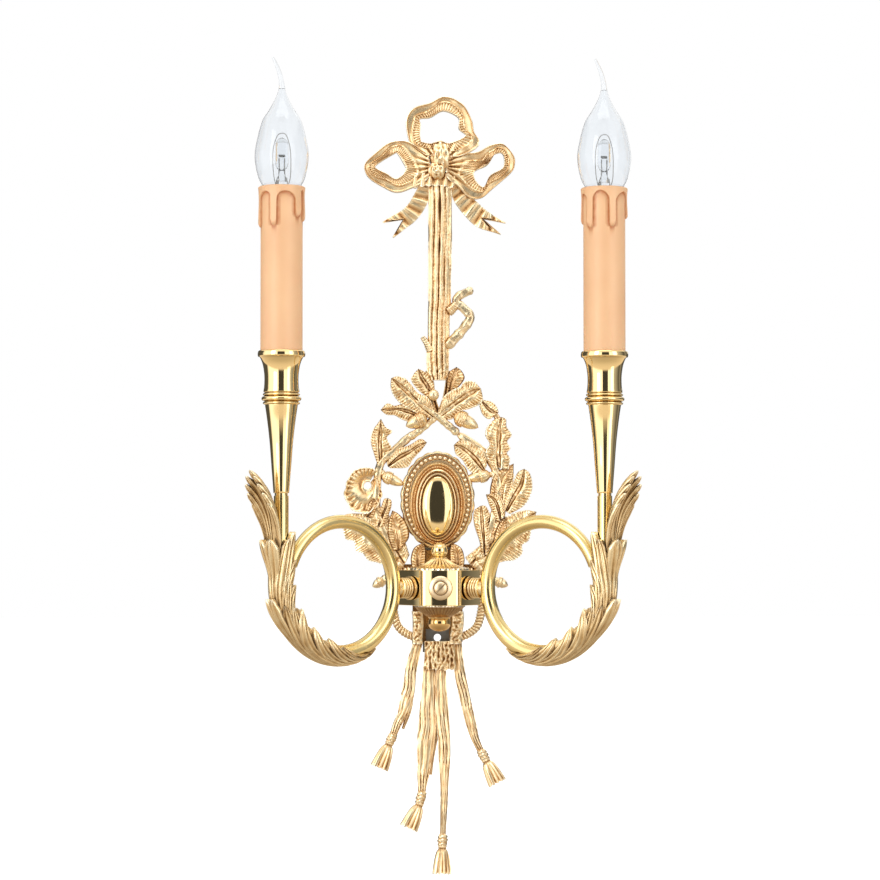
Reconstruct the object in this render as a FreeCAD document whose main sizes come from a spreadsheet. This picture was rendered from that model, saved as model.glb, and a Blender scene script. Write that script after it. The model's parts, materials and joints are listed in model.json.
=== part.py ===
import FreeCAD, Part
import math
import os
import re
import Sketcher
from FreeCAD import Vector

# Double arm wall sconce in cast and turned brass, in millimetres.
# +Y points into the wall, +Z up, origin on the wall plane behind the middle of the hub box.

doc = FreeCAD.newDocument("Sconce")
sheet = doc.addObject("Spreadsheet::Sheet", "Size")

sizes = {
    # wall strap
    "thread_play": 0.05, "strap_wide": 20, "strap_long": 90, "strap_thick": 3,
    "fixing_pitch": 70, "fixing_hole_d": 5,
    "lead_hole_d": 3.4, "lead_hole_pitch": 9.8,
    # hub box and what is stacked on it
    "hub_depth": 42, "hub_tall": 23.3, "hub_front_wide": 29.9, "hub_front_reach": 23.8,
    "hub_side_long": 20, "hub_rear_reach": 16, "hub_rear_wide": 30, "hub_shoulder": 16, "hub_wall": 2.5,
    "dome_base_d": 39.4, "dome_top_d": 10.7, "dome_tall": 8, "dome_lip": 1.2,
    "low_dome_base_d": 34, "low_dome_top_d": 15, "low_dome_tall": 8,
    "ball_d": 11, "finial_d": 15.4, "finial_tall": 9.7, "stud_d": 4, "stud_long": 2.2,
    "rosette_d": 16, "rosette_thick": 2.4, "screw_head_d": 8.6, "screw_head_tall": 2.2,
    "screw_d": 5, "screw_play": 0.3, "slot_wide": 1.2, "slot_deep": 0.9,
    "spacer_d": 18, "spacer_bore": 14,
    # arms
    "arm_angle": 37, "ring_r": 42.8, "ring_reach": 81.9, "ring_rise": 1, "candle_reach": 130,
    "tube_tail_d": 8, "tube_top_d": 9, "tube_inner_d": 9.7, "tube_low_d": 11, "stem_d": 9.5,
    "tube_bore": 6, "stem_top": 62.1, "spigot_d": 7, "spigot_long": 6, "tail_angle": 20,
    "collar_d": 13.6, "collar_rings": 4, "collar_groove": 1, "nipple_d": 7, "nipple_bore": 4.6,
    "locknut_d": 11, "locknut_thick": 2.4, "connector_long": 7, "connector_wide": 8, "connector_tall": 9,
    "connector_start": 6.6, "cable_d": 2.6, "cable_turn": 190,
    # candle fittings
    "cone_waist_d": 12.6, "cone_mid_d": 15, "cone_top_d": 21, "cone_lower_rise": 16.8,
    "cone_middle_rise": 15.9, "cone_upper_rise": 23.8, "rod_d": 8, "rod_tuck": 22.6, "rod_bore": 4.6,
    "rod_stand": 11.7, "band_d": 25.5, "band_tall": 7.7, "waist_d": 21.8, "neck_d": 23.4, "waist_rise": 8.3,
    "lip_rise": 18.7, "flange_d": 30.5, "flange_thick": 3.9, "seat_deep": 3, "seat_play": 0.2,
    "sleeve_d": 27, "sleeve_bore": 24.8, "sleeve_long": 108.6, "drip_d": 31, "drip_long": 30,
    "holder_leg_d": 14, "holder_head_d": 23.6, "holder_head_long": 37.5, "holder_long": 97.2,
    "socket_bore": 15.4, "socket_wall": 0.4, "socket_deep": 24,
    # lamp
    "lamp_gap": 3, "contact_d": 5, "contact_tall": 1.4, "insulator_tall": 3, "cap_d": 13.9, "cap_long": 23,
    "cap_wall": 0.5, "glass_wall": 0.8, "glass_neck_d": 13, "glass_mouth_d": 24.2, "glass_mouth_rise": 9.4,
    "glass_d": 35, "glass_belly_rise": 19.1, "glass_upper_d": 25.6, "glass_upper_rise": 23,
    "glass_shoulder_d": 11, "glass_shoulder_rise": 12.4, "stalk_d": 3, "stalk_rise": 12, "tip_rise": 17.4,
    "tip_sweep": 6, "tip_d": 1, "capsule_d": 9, "capsule_rise": 19, "capsule_long": 22,
    "post_wire_d": 1, "post_wire_pitch": 5,
    # back castings
    "cast_back": 3, "leaf_thick": 3.2, "branch_d": 5, "branch_lift": 0.4, "acorn_d": 8.5,
    "medallion_wide": 51, "medallion_tall": 67, "medallion_rise": 58.7, "medallion_thick": 5,
    "bead_d": 2.3, "beads": 62, "bead_inset": 3.4, "rim_inset": 7.2, "rim_rise": 2.5,
    "frame_inset": 12, "frame_rise": 4, "cabochon_wide": 21.3, "cabochon_tall": 39.8,
    "cabochon_rise": 6.5, "cabochon_play": 0.05, "rim_drop": 2.6, "cabochon_drop": 4,
    "post_wide": 16, "post_foot_wide": 15, "post_top": 272, "post_taper": 160, "post_foot": 142,
    "post_stems": 5, "post_reed": 3.2, "post_shift": 1.8, "twig_d": 4.6,
    "ribbon_deep": 7, "knot_wide": 15, "knot_tall": 29, "knot_rise": 287, "tail_thick": 3,
    "spine_thick": 3.2, "spine_wide": 34, "spine_low": -38, "rope_d": 6,
    "binding_wide": 20.8, "binding_tall": 18, "binding_deep": 10, "strap_deep": 4.4,
    "tassel_knot_d": 7, "tassel_neck_d": 5, "tassel_foot_d": 12, "curl_hole_d": 5,
    # leaf sheathing each ring
    "sheath_thick": 2.2, "sheath_play": 0.15, "sheath_flare": 1.2, "curl_wide": 16, "curl_thick": 2.4,
    "curl_r": 34, "curl_turn": 64, "curl_rise": 45, "curl_root": 9, "sheath_start": 234,
    "sheath_lobes": 9, "lobe_share": 0.62, "lobe_edge": 2.2, "stem_lobes": 3, "stem_lobe_pitch": 15,
}

for row, (name, value) in enumerate(sizes.items(), 1):
    sheet.set("A%d" % row, name)
    sheet.set("B%d" % row, str(value))
    sheet.setAlias("B%d" % row, name)
doc.recompute()

nodes = {}


def bound(text):
    """Writes each size's name in an expression as a cell of the sheet."""
    return re.sub(r"\b([a-z]+(?:_[a-z]+)+|beads)\b", r"Size.\1", text)


def size(text):
    """The value of a size, or of an expression in sizes."""
    result = sheet.evalExpression(bound(text))
    return float(getattr(result, "Value", result))


def keep(label, thing):
    """Registers an object as a sub-part under its own name."""
    thing.Label = label
    nodes[label] = thing
    return thing


def solid(label, shape, placement=None):
    """A sub-part whose shape is worked out from the sheet's sizes."""
    thing = doc.addObject("Part::Feature", label)
    thing.Shape = shape
    if placement:
        thing.Placement = placement
    return keep(label, thing)


def outline_sketch(body, role, outline):
    """A closed outline of (across, up) corners; a third entry makes the next edge an arc of that radius."""
    sketch = body.newObject("Sketcher::SketchObject", body.Name + "_outline")
    plane = [f for f in body.Origin.OriginFeatures if f.Role == role][0]
    sketch.AttachmentSupport = [(plane, "")]
    sketch.MapMode = "FlatFace"
    count = len(outline)
    places = [Vector(size(corner[0]), size(corner[1]), 0) for corner in outline]
    ends = [(1, 2)] * count
    for i, corner in enumerate(outline):
        start, end = places[i], places[(i + 1) % count]
        if len(corner) == 2:
            sketch.addGeometry(Part.LineSegment(start, end))
            continue
        radius = size(corner[2].lstrip("-"))
        chord = end - start
        side = Vector(-chord.y, chord.x, 0).normalize() * (-1 if corner[2].startswith("-") else 1)
        centre = (start + end) * 0.5 + side * math.sqrt(max(radius ** 2 - chord.Length ** 2 / 4, 0))
        clockwise = (start - centre).cross(end - centre).z < 0
        first, last = (end, start) if clockwise else (start, end)
        turns = [math.atan2(p.y - centre.y, p.x - centre.x) for p in (first, last)]
        sketch.addGeometry(Part.ArcOfCircle(Part.Circle(centre, Vector(0, 0, 1), radius), *turns))
        ends[i] = (2, 1) if clockwise else (1, 2)
    for i in range(count):
        after = (i + 1) % count
        sketch.addConstraint(Sketcher.Constraint("Coincident", i, ends[i][1], after, ends[after][0]))
    for i, corner in enumerate(outline):
        for kind, letter, text, value in (("DistanceX", "x", corner[0], places[i].x),
                                          ("DistanceY", "y", corner[1], places[i].y)):
            index = sketch.addConstraint(Sketcher.Constraint(kind, -1, 1, i, ends[i][0], value))
            sketch.renameConstraint(index, "%s%d" % (letter, i))
            sketch.setExpression("Constraints.%s%d" % (letter, i), bound(text))
        if len(corner) > 2:
            text = corner[2].lstrip("-")
            index = sketch.addConstraint(Sketcher.Constraint("Radius", i, size(text)))
            sketch.renameConstraint(index, "r%d" % i)
            sketch.setExpression("Constraints.r%d" % i, bound(text))
    return sketch


def turned(name, outline):
    """A body turned about +Z from an outline of (radius, height) corners."""
    body = doc.addObject("PartDesign::Body", name)
    sketch = outline_sketch(body, "XZ_Plane", outline)
    turn = body.newObject("PartDesign::Revolution", name + "_turn")
    turn.Profile = sketch
    turn.ReferenceAxis = (sketch, ["V_Axis"])
    turn.Angle = 360
    return body


def prism(name, outline, low, tall):
    """A body of an (x, y) outline padded upwards."""
    body = doc.addObject("PartDesign::Body", name)
    pad = body.newObject("PartDesign::Pad", name + "_pad")
    pad.Profile = outline_sketch(body, "XY_Plane", outline)
    pad.setExpression("Length", bound(tall))
    body.setExpression("Placement.Base.z", bound(low))
    return body


def rod(name, radius, length, base, axis):
    """A Part cylinder from a base point along an axis, both in the sub-part's own frame."""
    thing = doc.addObject("Part::Cylinder", name)
    thing.setExpression("Radius", bound(radius))
    thing.setExpression("Height", bound(length))
    thing.Placement = FreeCAD.Placement(Vector(*[size(t) for t in base]),
                                        FreeCAD.Rotation(Vector(0, 0, 1), Vector(*axis)))
    return thing


def cut(name, base, *tools):
    """Base less every tool."""
    thing = base
    for i, tool in enumerate(tools):
        step = doc.addObject("Part::Cut", "%s_cut_%d" % (name, i))
        step.Base = thing
        step.Tool = tool
        thing = step
    return thing


def joined(shapes):
    """One solid of several that overlap."""
    shape = shapes[0].fuse(shapes[1:]) if len(shapes) > 1 else shapes[0]
    return shape.removeSplitter()


def largest(shape):
    """The largest solid of a shape, without the crumbs that a cut may leave."""
    return max(shape.Solids, key=lambda s: s.Volume)


# levels up the candle, each from the one below it
cone_lower = "(stem_top + cone_lower_rise)"
cone_middle = "(%s + cone_middle_rise)" % cone_lower
cone_top = "(%s + cone_upper_rise)" % cone_middle
cup_top = "(%s + band_tall + waist_rise + lip_rise)" % cone_top
seat_floor = "(%s - seat_deep)" % cup_top
sleeve_top = "(%s + sleeve_long)" % seat_floor
holder_top = "(%s + holder_long)" % seat_floor
socket_floor = "(%s - socket_deep)" % holder_top
lamp_base = "(%s + lamp_gap)" % socket_floor
cap_top = "(%s + cap_long)" % lamp_base
glass_mouth = "(%s + glass_mouth_rise)" % cap_top
glass_widest = "(%s + glass_belly_rise)" % glass_mouth
glass_upper = "(%s + glass_upper_rise)" % glass_widest
glass_shoulder = "(%s + glass_shoulder_rise)" % glass_upper
stalk_top = "(%s + stalk_rise)" % glass_shoulder

sides = (("left", -1), ("right", 1))
hub_y = "-hub_depth"
mid = size("arm_angle")


def arm_placement(side):
    """Puts a shape drawn with X along an arm into the sconce's frame."""
    turn = -mid if side > 0 else 180 + mid
    return FreeCAD.Placement(Vector(0, size(hub_y), 0), FreeCAD.Rotation(Vector(0, 0, 1), turn))


def at_candle(thing, side):
    """Stands a turned sub-part on its candle's axis."""
    thing.setExpression("Placement.Base.x", bound("%d * candle_reach * cos(arm_angle * 1deg)" % side))
    thing.setExpression("Placement.Base.y", bound("-hub_depth - candle_reach * sin(arm_angle * 1deg)"))
    return thing


# Wall strap: a flat bar with two fixing holes, a tapped centre hole and two lead holes beside it.
def wall_strap():
    bar = doc.addObject("Part::Box", "strap_bar")
    for key, text in (("Length", "strap_wide"), ("Width", "strap_thick"), ("Height", "strap_long")):
        bar.setExpression(key, bound(text))
    for key, text in (("x", "-strap_wide / 2"), ("y", "-strap_thick"), ("z", "-strap_long / 2")):
        bar.setExpression("Placement.Base." + key, bound(text))
    places = [("screw_d / 2 + thread_play", "0", "0"),
              ("fixing_hole_d / 2", "0", "fixing_pitch / 2"), ("fixing_hole_d / 2", "0", "-fixing_pitch / 2"),
              ("lead_hole_d / 2", "lead_hole_pitch / 2", "0"), ("lead_hole_d / 2", "-lead_hole_pitch / 2", "0")]
    holes = [rod("strap_hole_%d" % i, radius, "strap_thick * 3", (x, "strap_thick", z), (0, -1, 0))
             for i, (radius, x, z) in enumerate(places)]
    keep("wall_strap", cut("strap", bar, *holes))


# Hub: a hollow box, flat in front, with two flanks square to the arms.
def flank(offset):
    """Corners of the hub's plan on one side, drawn in by a wall; the hub's axis is the origin."""
    front_x = "(hub_front_wide / 2 - %s * (1 - sin(arm_angle * 1deg)) / cos(arm_angle * 1deg))" % offset
    front_y = "(-hub_front_reach + %s)" % offset
    corner_x = "(hub_front_wide / 2 + hub_side_long * sin(arm_angle * 1deg) - %s)" % offset
    corner_y = ("(-hub_front_reach + hub_side_long * cos(arm_angle * 1deg)"
                " + %s * (1 - cos(arm_angle * 1deg)) / sin(arm_angle * 1deg))" % offset)
    rear_x = "(hub_rear_wide / 2 - %s / 2)" % offset
    rear_y = "(hub_rear_reach - %s)" % offset
    waist_y = "(hub_rear_reach - hub_shoulder / 2 - %s / 2)" % offset
    return [(front_x, front_y), (corner_x, corner_y), (corner_x, waist_y), (rear_x, rear_y)]


def hub_plan(offset):
    """The hub's whole plan, mirrored from one side."""
    half = flank(offset)
    return half + [("-" + x, y) for x, y in reversed(half)]


flank_reach = "(hub_front_wide / 2 * cos(arm_angle * 1deg) + hub_front_reach * sin(arm_angle * 1deg))"
dome_y = "(-hub_depth - hub_front_reach + dome_base_d / 2)"


def hub():
    block = prism("hub_block", hub_plan("0"), "-hub_tall / 2", "hub_tall")
    inside = prism("hub_inside", hub_plan("hub_wall"), "-hub_tall / 2 + hub_wall", "hub_tall - 2 * hub_wall")
    for thing in (block, inside):
        thing.setExpression("Placement.Base.y", bound(hub_y))
    tools = [inside,
             rod("hub_front_hole", "screw_d / 2 + screw_play", "hub_wall * 3",
                 ("0", "-hub_depth - hub_front_reach + hub_wall * 2", "0"), (0, -1, 0)),
             rod("hub_rear_hole", "spacer_bore / 2", "hub_wall * 3",
                 ("0", "-hub_depth + hub_rear_reach - hub_wall * 2", "0"), (0, 1, 0)),
             rod("hub_stud_hole", "stud_d / 2 + thread_play", "hub_tall * 2", ("0", dome_y, "-hub_tall"),
                 (0, 0, 1))]
    angle = math.radians(mid)
    for name, side in sides:
        tools.append(rod("hub_%s_hole" % name, "nipple_d / 2 + thread_play", flank_reach + " + hub_wall",
                         ("0", hub_y, "0"), (side * math.cos(angle), -math.sin(angle), 0)))
    keep("hub_box", cut("hub", block, *tools))

    def stacked(label, outline):
        thing = keep(label, turned(label, outline))
        thing.setExpression("Placement.Base.y", bound(dome_y))

    top = "hub_tall / 2"
    crest = "(hub_tall / 2 + dome_tall)"
    sag = "((dome_base_d - dome_top_d) * 0.42)"
    hole = "stud_d / 2 + thread_play"
    stacked("hub_top_dome", [(hole, top), ("dome_base_d / 2", top),
                             ("dome_base_d / 2", top + " + dome_lip", "-" + sag),
                             ("dome_top_d / 2", crest), (hole, crest)])
    low_sag = "((low_dome_base_d - low_dome_top_d) * 0.5)"
    stacked("hub_bottom_dome", [(hole, "-" + top), ("low_dome_base_d / 2", "-" + top),
                                ("low_dome_base_d / 2", "-%s - dome_lip" % top, "-" + low_sag),
                                ("low_dome_top_d / 2", "-%s - low_dome_tall" % top),
                                (hole, "-%s - low_dome_tall" % top)])
    globe = doc.addObject("Part::Sphere", "ball_globe")
    globe.setExpression("Radius", bound("ball_d / 2"))
    globe.setExpression("Placement.Base.y", bound(dome_y))
    globe.setExpression("Placement.Base.z", bound(crest + " + ball_d / 2 - 0.6"))
    stud = rod("ball_stud", "stud_d / 2", "dome_tall + stud_long + 1",
               ("0", dome_y, top + " - stud_long"), (0, 0, 1))
    foot_ring = rod("ball_seat", "dome_top_d / 2 - 1", "2", ("0", dome_y, crest), (0, 0, 1))
    ball = doc.addObject("Part::MultiFuse", "ball")
    ball.Shapes = [globe, stud, foot_ring]
    keep("top_ball", ball)
    foot = "(-%s - low_dome_tall)" % top
    stacked("bottom_finial", [("0", "-%s + stud_long" % top), ("0", foot + " - finial_tall", "finial_d * 0.52"),
                              ("finial_d / 2", foot + " - finial_tall * 0.4"),
                              ("low_dome_top_d / 2 - 1", foot), ("stud_d / 2", foot),
                              ("stud_d / 2", "-%s + stud_long" % top)])


# Clamping stack along the hub's front-to-back axis.
def clamp_stack():
    front = "(-hub_depth - hub_front_reach)"
    face = FreeCAD.Rotation(Vector(0, 0, 1), Vector(0, -1, 0))
    rosette = turned("hub_rosette", [("screw_d / 2 + screw_play", "0"), ("rosette_d / 2", "0"),
                                     ("rosette_d / 2", "rosette_thick * 0.4"),
                                     ("rosette_d / 2 - 1.4", "rosette_thick"),
                                     ("screw_d / 2 + screw_play", "rosette_thick")])
    rosette.Placement = FreeCAD.Placement(Vector(0, size(front), 0), face)
    keep("hub_rosette", rosette)
    shank = "hub_depth + hub_front_reach + rosette_thick - 0.5"
    bolt = turned("hub_bolt", [("0", "-(%s)" % shank), ("screw_d / 2", "-(%s)" % shank), ("screw_d / 2", "0"),
                               ("screw_head_d / 2", "0"), ("screw_head_d / 2", "screw_head_tall * 0.6"),
                               ("screw_head_d / 2 - 0.8", "screw_head_tall"), ("0", "screw_head_tall")])
    bolt.Placement = FreeCAD.Placement(Vector(0, size(front + " - rosette_thick"), 0), face)
    slot = doc.addObject("Part::Box", "hub_screw_slot")
    for key, text in (("Length", "screw_head_d * 2"), ("Width", "slot_deep * 2"), ("Height", "slot_wide")):
        slot.setExpression(key, bound(text))
    centre = Vector(0, size(front + " - rosette_thick - screw_head_tall"), 0)
    tilt = FreeCAD.Rotation(Vector(0, 1, 0), -45)
    corner = tilt.multVec(Vector(size("-screw_head_d"), size("-slot_deep"), size("-slot_wide / 2")))
    slot.Placement = FreeCAD.Placement(centre + corner, tilt)
    keep("hub_screw", cut("hub_screw", bolt, slot))
    barrel = rod("spacer_barrel", "spacer_d / 2", "hub_depth - hub_rear_reach - cast_back - spine_thick",
                 ("0", "-cast_back - spine_thick", "0"), (0, -1, 0))
    bore = rod("spacer_inside", "spacer_bore / 2", "hub_depth", ("0", "0", "0"), (0, -1, 0))
    keep("hub_spacer", cut("spacer", barrel, bore))


# Arm: a tapered tube that makes a ring, passes its own tail and rises as the candle stem.
def plane_point(reach, rise):
    return Vector(reach, 0, rise)


def ring_point(angle, radius=None, centre_rise=None):
    """A point at an angle on the ring's centreline, in the arm's upright plane."""
    radius = size("ring_r") if radius is None else radius
    rise = size("ring_rise") if centre_rise is None else centre_rise
    turn = math.radians(angle)
    return plane_point(size("ring_reach") + radius * math.cos(turn), rise + radius * math.sin(turn))


def ring_arc(start, end, radius=None, centre_rise=None):
    middle = (start + end) / 2
    return Part.Arc(*[ring_point(a, radius, centre_rise) for a in (start, middle, end)]).toShape()


def outer_arc(start, end):
    """Part of the wider quarter that leads from the ring's foot to the stem."""
    radius = size("candle_reach - ring_reach")
    return ring_arc(start, end, radius, size("ring_rise - ring_r") + radius)


def disc(centre, heading, diameter):
    return Part.Wire(Part.Circle(centre, heading, diameter / 2).toShape())


def tapered(edges, sections):
    """A pipe along edges through round sections given as (point, heading, diameter)."""
    pipe = Part.BRepOffsetAPI.MakePipeShell(Part.Wire(edges))
    for centre, heading, diameter in sections:
        pipe.add(disc(centre, heading, diameter))
    pipe.build()
    pipe.makeSolid()
    return Part.Solid(pipe.shape())


def heading(angle):
    turn = math.radians(angle)
    return Vector(-math.sin(turn), 0, math.cos(turn))


def arm_pipe(grow, tail_angle, top):
    """The arm's outside with every diameter larger by grow; top is where the stem ends."""
    tail, crown, inner, low, stem = [size(n) + grow for n in
                                     ("tube_tail_d", "tube_top_d", "tube_inner_d", "tube_low_d", "stem_d")]
    stops = ((tail_angle, tail), (90, crown), (180, inner), (270, low))
    pieces = []
    for (start, thin), (end, thick) in zip(stops, stops[1:]):
        pieces.append(tapered([ring_arc(start, end)], [(ring_point(start), heading(start), thin),
                                                       (ring_point(end), heading(end), thick)]))
    radius = size("candle_reach - ring_reach")
    rise = size("ring_rise - ring_r") + radius
    pieces.append(tapered([outer_arc(270, 360)], [(ring_point(270), heading(270), low),
                                                  (ring_point(360, radius, rise), heading(0), stem)]))
    pieces.append(Part.makeCylinder(stem / 2, top - rise, ring_point(360, radius, rise), Vector(0, 0, 1)))
    return joined(pieces)


def lead_path(start_reach, end_rise):
    """The lead's route: out of the hub, round into the ring tube, along its foot and up the stem."""
    leave = size("cable_turn")
    swing = math.radians(270 - leave)
    meet = ring_point(leave)
    bend = -meet.z / (1 - math.cos(swing))
    turn_start = plane_point(meet.x - bend * math.sin(swing), 0)
    half = swing / 2
    middle = plane_point(turn_start.x + bend * math.sin(half), -bend * (1 - math.cos(half)))
    radius = size("candle_reach - ring_reach")
    rise = size("ring_rise - ring_r") + radius
    foot = ring_point(360, radius, rise)
    return [Part.LineSegment(plane_point(start_reach, 0), turn_start).toShape(),
            Part.Arc(turn_start, middle, meet).toShape(),
            ring_arc(leave, 270), outer_arc(270, 360),
            Part.LineSegment(foot, plane_point(foot.x, end_rise)).toShape()]


def tube_along(edges, diameter):
    """A round bar along tangent edges, each edge swept by itself and joined."""
    pieces = []
    for edge in edges:
        start = edge.valueAt(edge.FirstParameter)
        pipe = Part.Wire([edge]).makePipeShell([disc(start, edge.tangentAt(edge.FirstParameter), diameter)],
                                               True, False)
        pieces.append(pipe)
    return joined(pieces)


collar_end = "(ring_reach - ring_r)"


def arms():
    outside = arm_pipe(0, size("tail_angle"), size("stem_top"))
    radius = size("candle_reach - ring_reach")
    foot = ring_point(360, radius, size("ring_rise - ring_r") + radius)
    bore_path = [ring_arc(150, 270), outer_arc(270, 360),
                 Part.LineSegment(foot, plane_point(foot.x, size("stem_top + 1"))).toShape()]
    bore = tube_along(bore_path, size("tube_bore"))
    axis = (Vector(0, 0, 0), Vector(1, 0, 0))
    entry = Part.makeCylinder(size("nipple_d / 2 + thread_play"), size(collar_end), *axis)
    socket = Part.makeCylinder(size("spigot_d / 2 + thread_play"), size("spigot_long") + 1,
                               plane_point(foot.x, size("stem_top - spigot_long")))
    tube = outside.cut([bore, entry, socket])

    flank_at = size(flank_reach)
    reach = size(collar_end) - flank_at
    collar = Part.makeCylinder(size("collar_d / 2"), reach, Vector(flank_at, 0, 0), Vector(1, 0, 0))
    visible = size(collar_end) - size("tube_inner_d / 2") - flank_at
    pitch = visible / size("collar_rings")
    for i in range(1, int(size("collar_rings"))):
        ring = Part.makeTorus(size("collar_d / 2 + collar_groove * 0.2"), size("collar_groove * 0.6"),
                              Vector(flank_at + i * pitch, 0, 0), Vector(1, 0, 0))
        collar = collar.cut(ring)
    passage = Part.makeCylinder(size("nipple_d / 2 + thread_play"), size("candle_reach"), *axis)
    collar = largest(collar.cut([outside, passage]))

    wall_face = flank_at - size("hub_wall")
    start = wall_face - size("locknut_thick") - 1
    nipple = Part.makeCylinder(size("nipple_d / 2"), size(collar_end + " - tube_bore / 2") - start,
                               Vector(start, 0, 0), Vector(1, 0, 0))
    hollow = Part.makeCylinder(size("nipple_bore / 2"), size("candle_reach"), *axis)
    nipple = largest(nipple.cut([hollow, bore]))
    locknut = Part.makeCylinder(size("locknut_d / 2"), size("locknut_thick"),
                                Vector(wall_face - size("locknut_thick"), 0, 0), Vector(1, 0, 0))
    locknut = locknut.cut(passage)
    connector = Part.makeBox(size("connector_long"), size("connector_wide"), size("connector_tall"),
                             Vector(size("connector_start"), size("-connector_wide / 2"),
                                    size("-connector_tall / 2")))
    cable = tube_along(lead_path(size("connector_start + connector_long"), size(socket_floor + " - 8")),
                       size("cable_d"))
    sheath = acanthus(outside)
    for name, side in sides:
        place = arm_placement(side)
        solid(name + "_arm", tube, place)
        solid(name + "_collar", collar, place)
        solid(name + "_nipple", nipple, place)
        solid(name + "_locknut", locknut, place)
        solid(name + "_connector", connector, place)
        solid(name + "_cable", cable, place)
        solid(name + "_acanthus", sheath, place)


# Acanthus leaf: a shell over the outer side of the ring's foot and stem, cut to lobes, with a rolled tip.
def acanthus(tube):
    play = 2 * size("sheath_play")
    thick = 2 * size("sheath_thick")
    radius = size("candle_reach - ring_reach")
    rise = size("ring_rise - ring_r") + radius
    top = plane_point(size("candle_reach"), size("stem_top - 12"))
    low, stem, flare = size("tube_low_d") + play, size("stem_d") + play, 2 * size("sheath_flare")
    foot = ring_point(360, radius, rise)
    start = size("sheath_start")

    def layer(extra, spread):
        return joined([
            tapered([ring_arc(start, 270)], [(ring_point(start), heading(start), low + extra * 0.7),
                                             (ring_point(270), heading(270), low + extra)]),
            tapered([outer_arc(270, 360)], [(ring_point(270), heading(270), low + extra),
                                            (foot, heading(0), stem + spread)]),
            Part.makeCylinder((stem + spread) / 2, top.z - foot.z, foot)])

    shell = layer(thick, flare + thick)
    hollow = layer(0, flare)
    # lobed edge on the ring's side, drawn as scallops along the tube's centreline
    scallops = []
    lobes = int(size("sheath_lobes"))
    lobe_r = size("tube_low_d * lobe_share")
    for i in range(lobes):
        share = i / (lobes - 1)
        along = start + 4 + share * (356 - start)
        centre = ring_point(along) if along <= 270 else ring_point(along, radius, rise)
        inward = (plane_point(size("ring_reach"), size("ring_rise")) - centre).normalize()
        at = centre + inward * (lobe_r + size("lobe_edge"))
        scallops.append(Part.makeCylinder(lobe_r, 60, at - Vector(0, 30, 0), Vector(0, 1, 0)))
    for i in range(int(size("stem_lobes"))):
        at = plane_point(size("candle_reach - stem_d * 0.95"), foot.z + 10 + i * size("stem_lobe_pitch"))
        scallops.append(Part.makeCylinder(size("stem_d * lobe_share"), 60, at - Vector(0, 30, 0), Vector(0, 1, 0)))
    inner_disc = Part.makeCylinder(size("ring_r - tube_low_d * 0.3"), 80,
                                   plane_point(size("ring_reach"), size("ring_rise")) - Vector(0, 40, 0),
                                   Vector(0, 1, 0))
    leaf = shell.cut([hollow, tube, inner_disc] + scallops)
    # the leaf's tip leaves the stem as a strip and rolls outwards
    reach = size("candle_reach + stem_d / 2 + sheath_play + sheath_thick")
    half, thin = size("curl_wide / 2"), size("curl_thick")
    bend_r, level, root = size("curl_r"), size("curl_rise"), size("curl_root")
    pivot = Vector(reach + bend_r, 0, level)
    corners = [pivot + Vector(-bend_r - x, y, 0)
               for x, y in ((thin, -half), (0, -half), (0, half), (thin, half))]
    section = Part.Face(Part.makePolygon(corners + corners[:1]))
    strip = section.extrude(Vector(0, 0, -root))
    roll = section.revolve(pivot, Vector(0, 1, 0), size("curl_turn"))
    curl = joined([strip, roll]).cut(arm_pipe(play, size("tail_angle"), size(cone_lower)))
    return largest(joined([largest(leaf), largest(curl)]))


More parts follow.
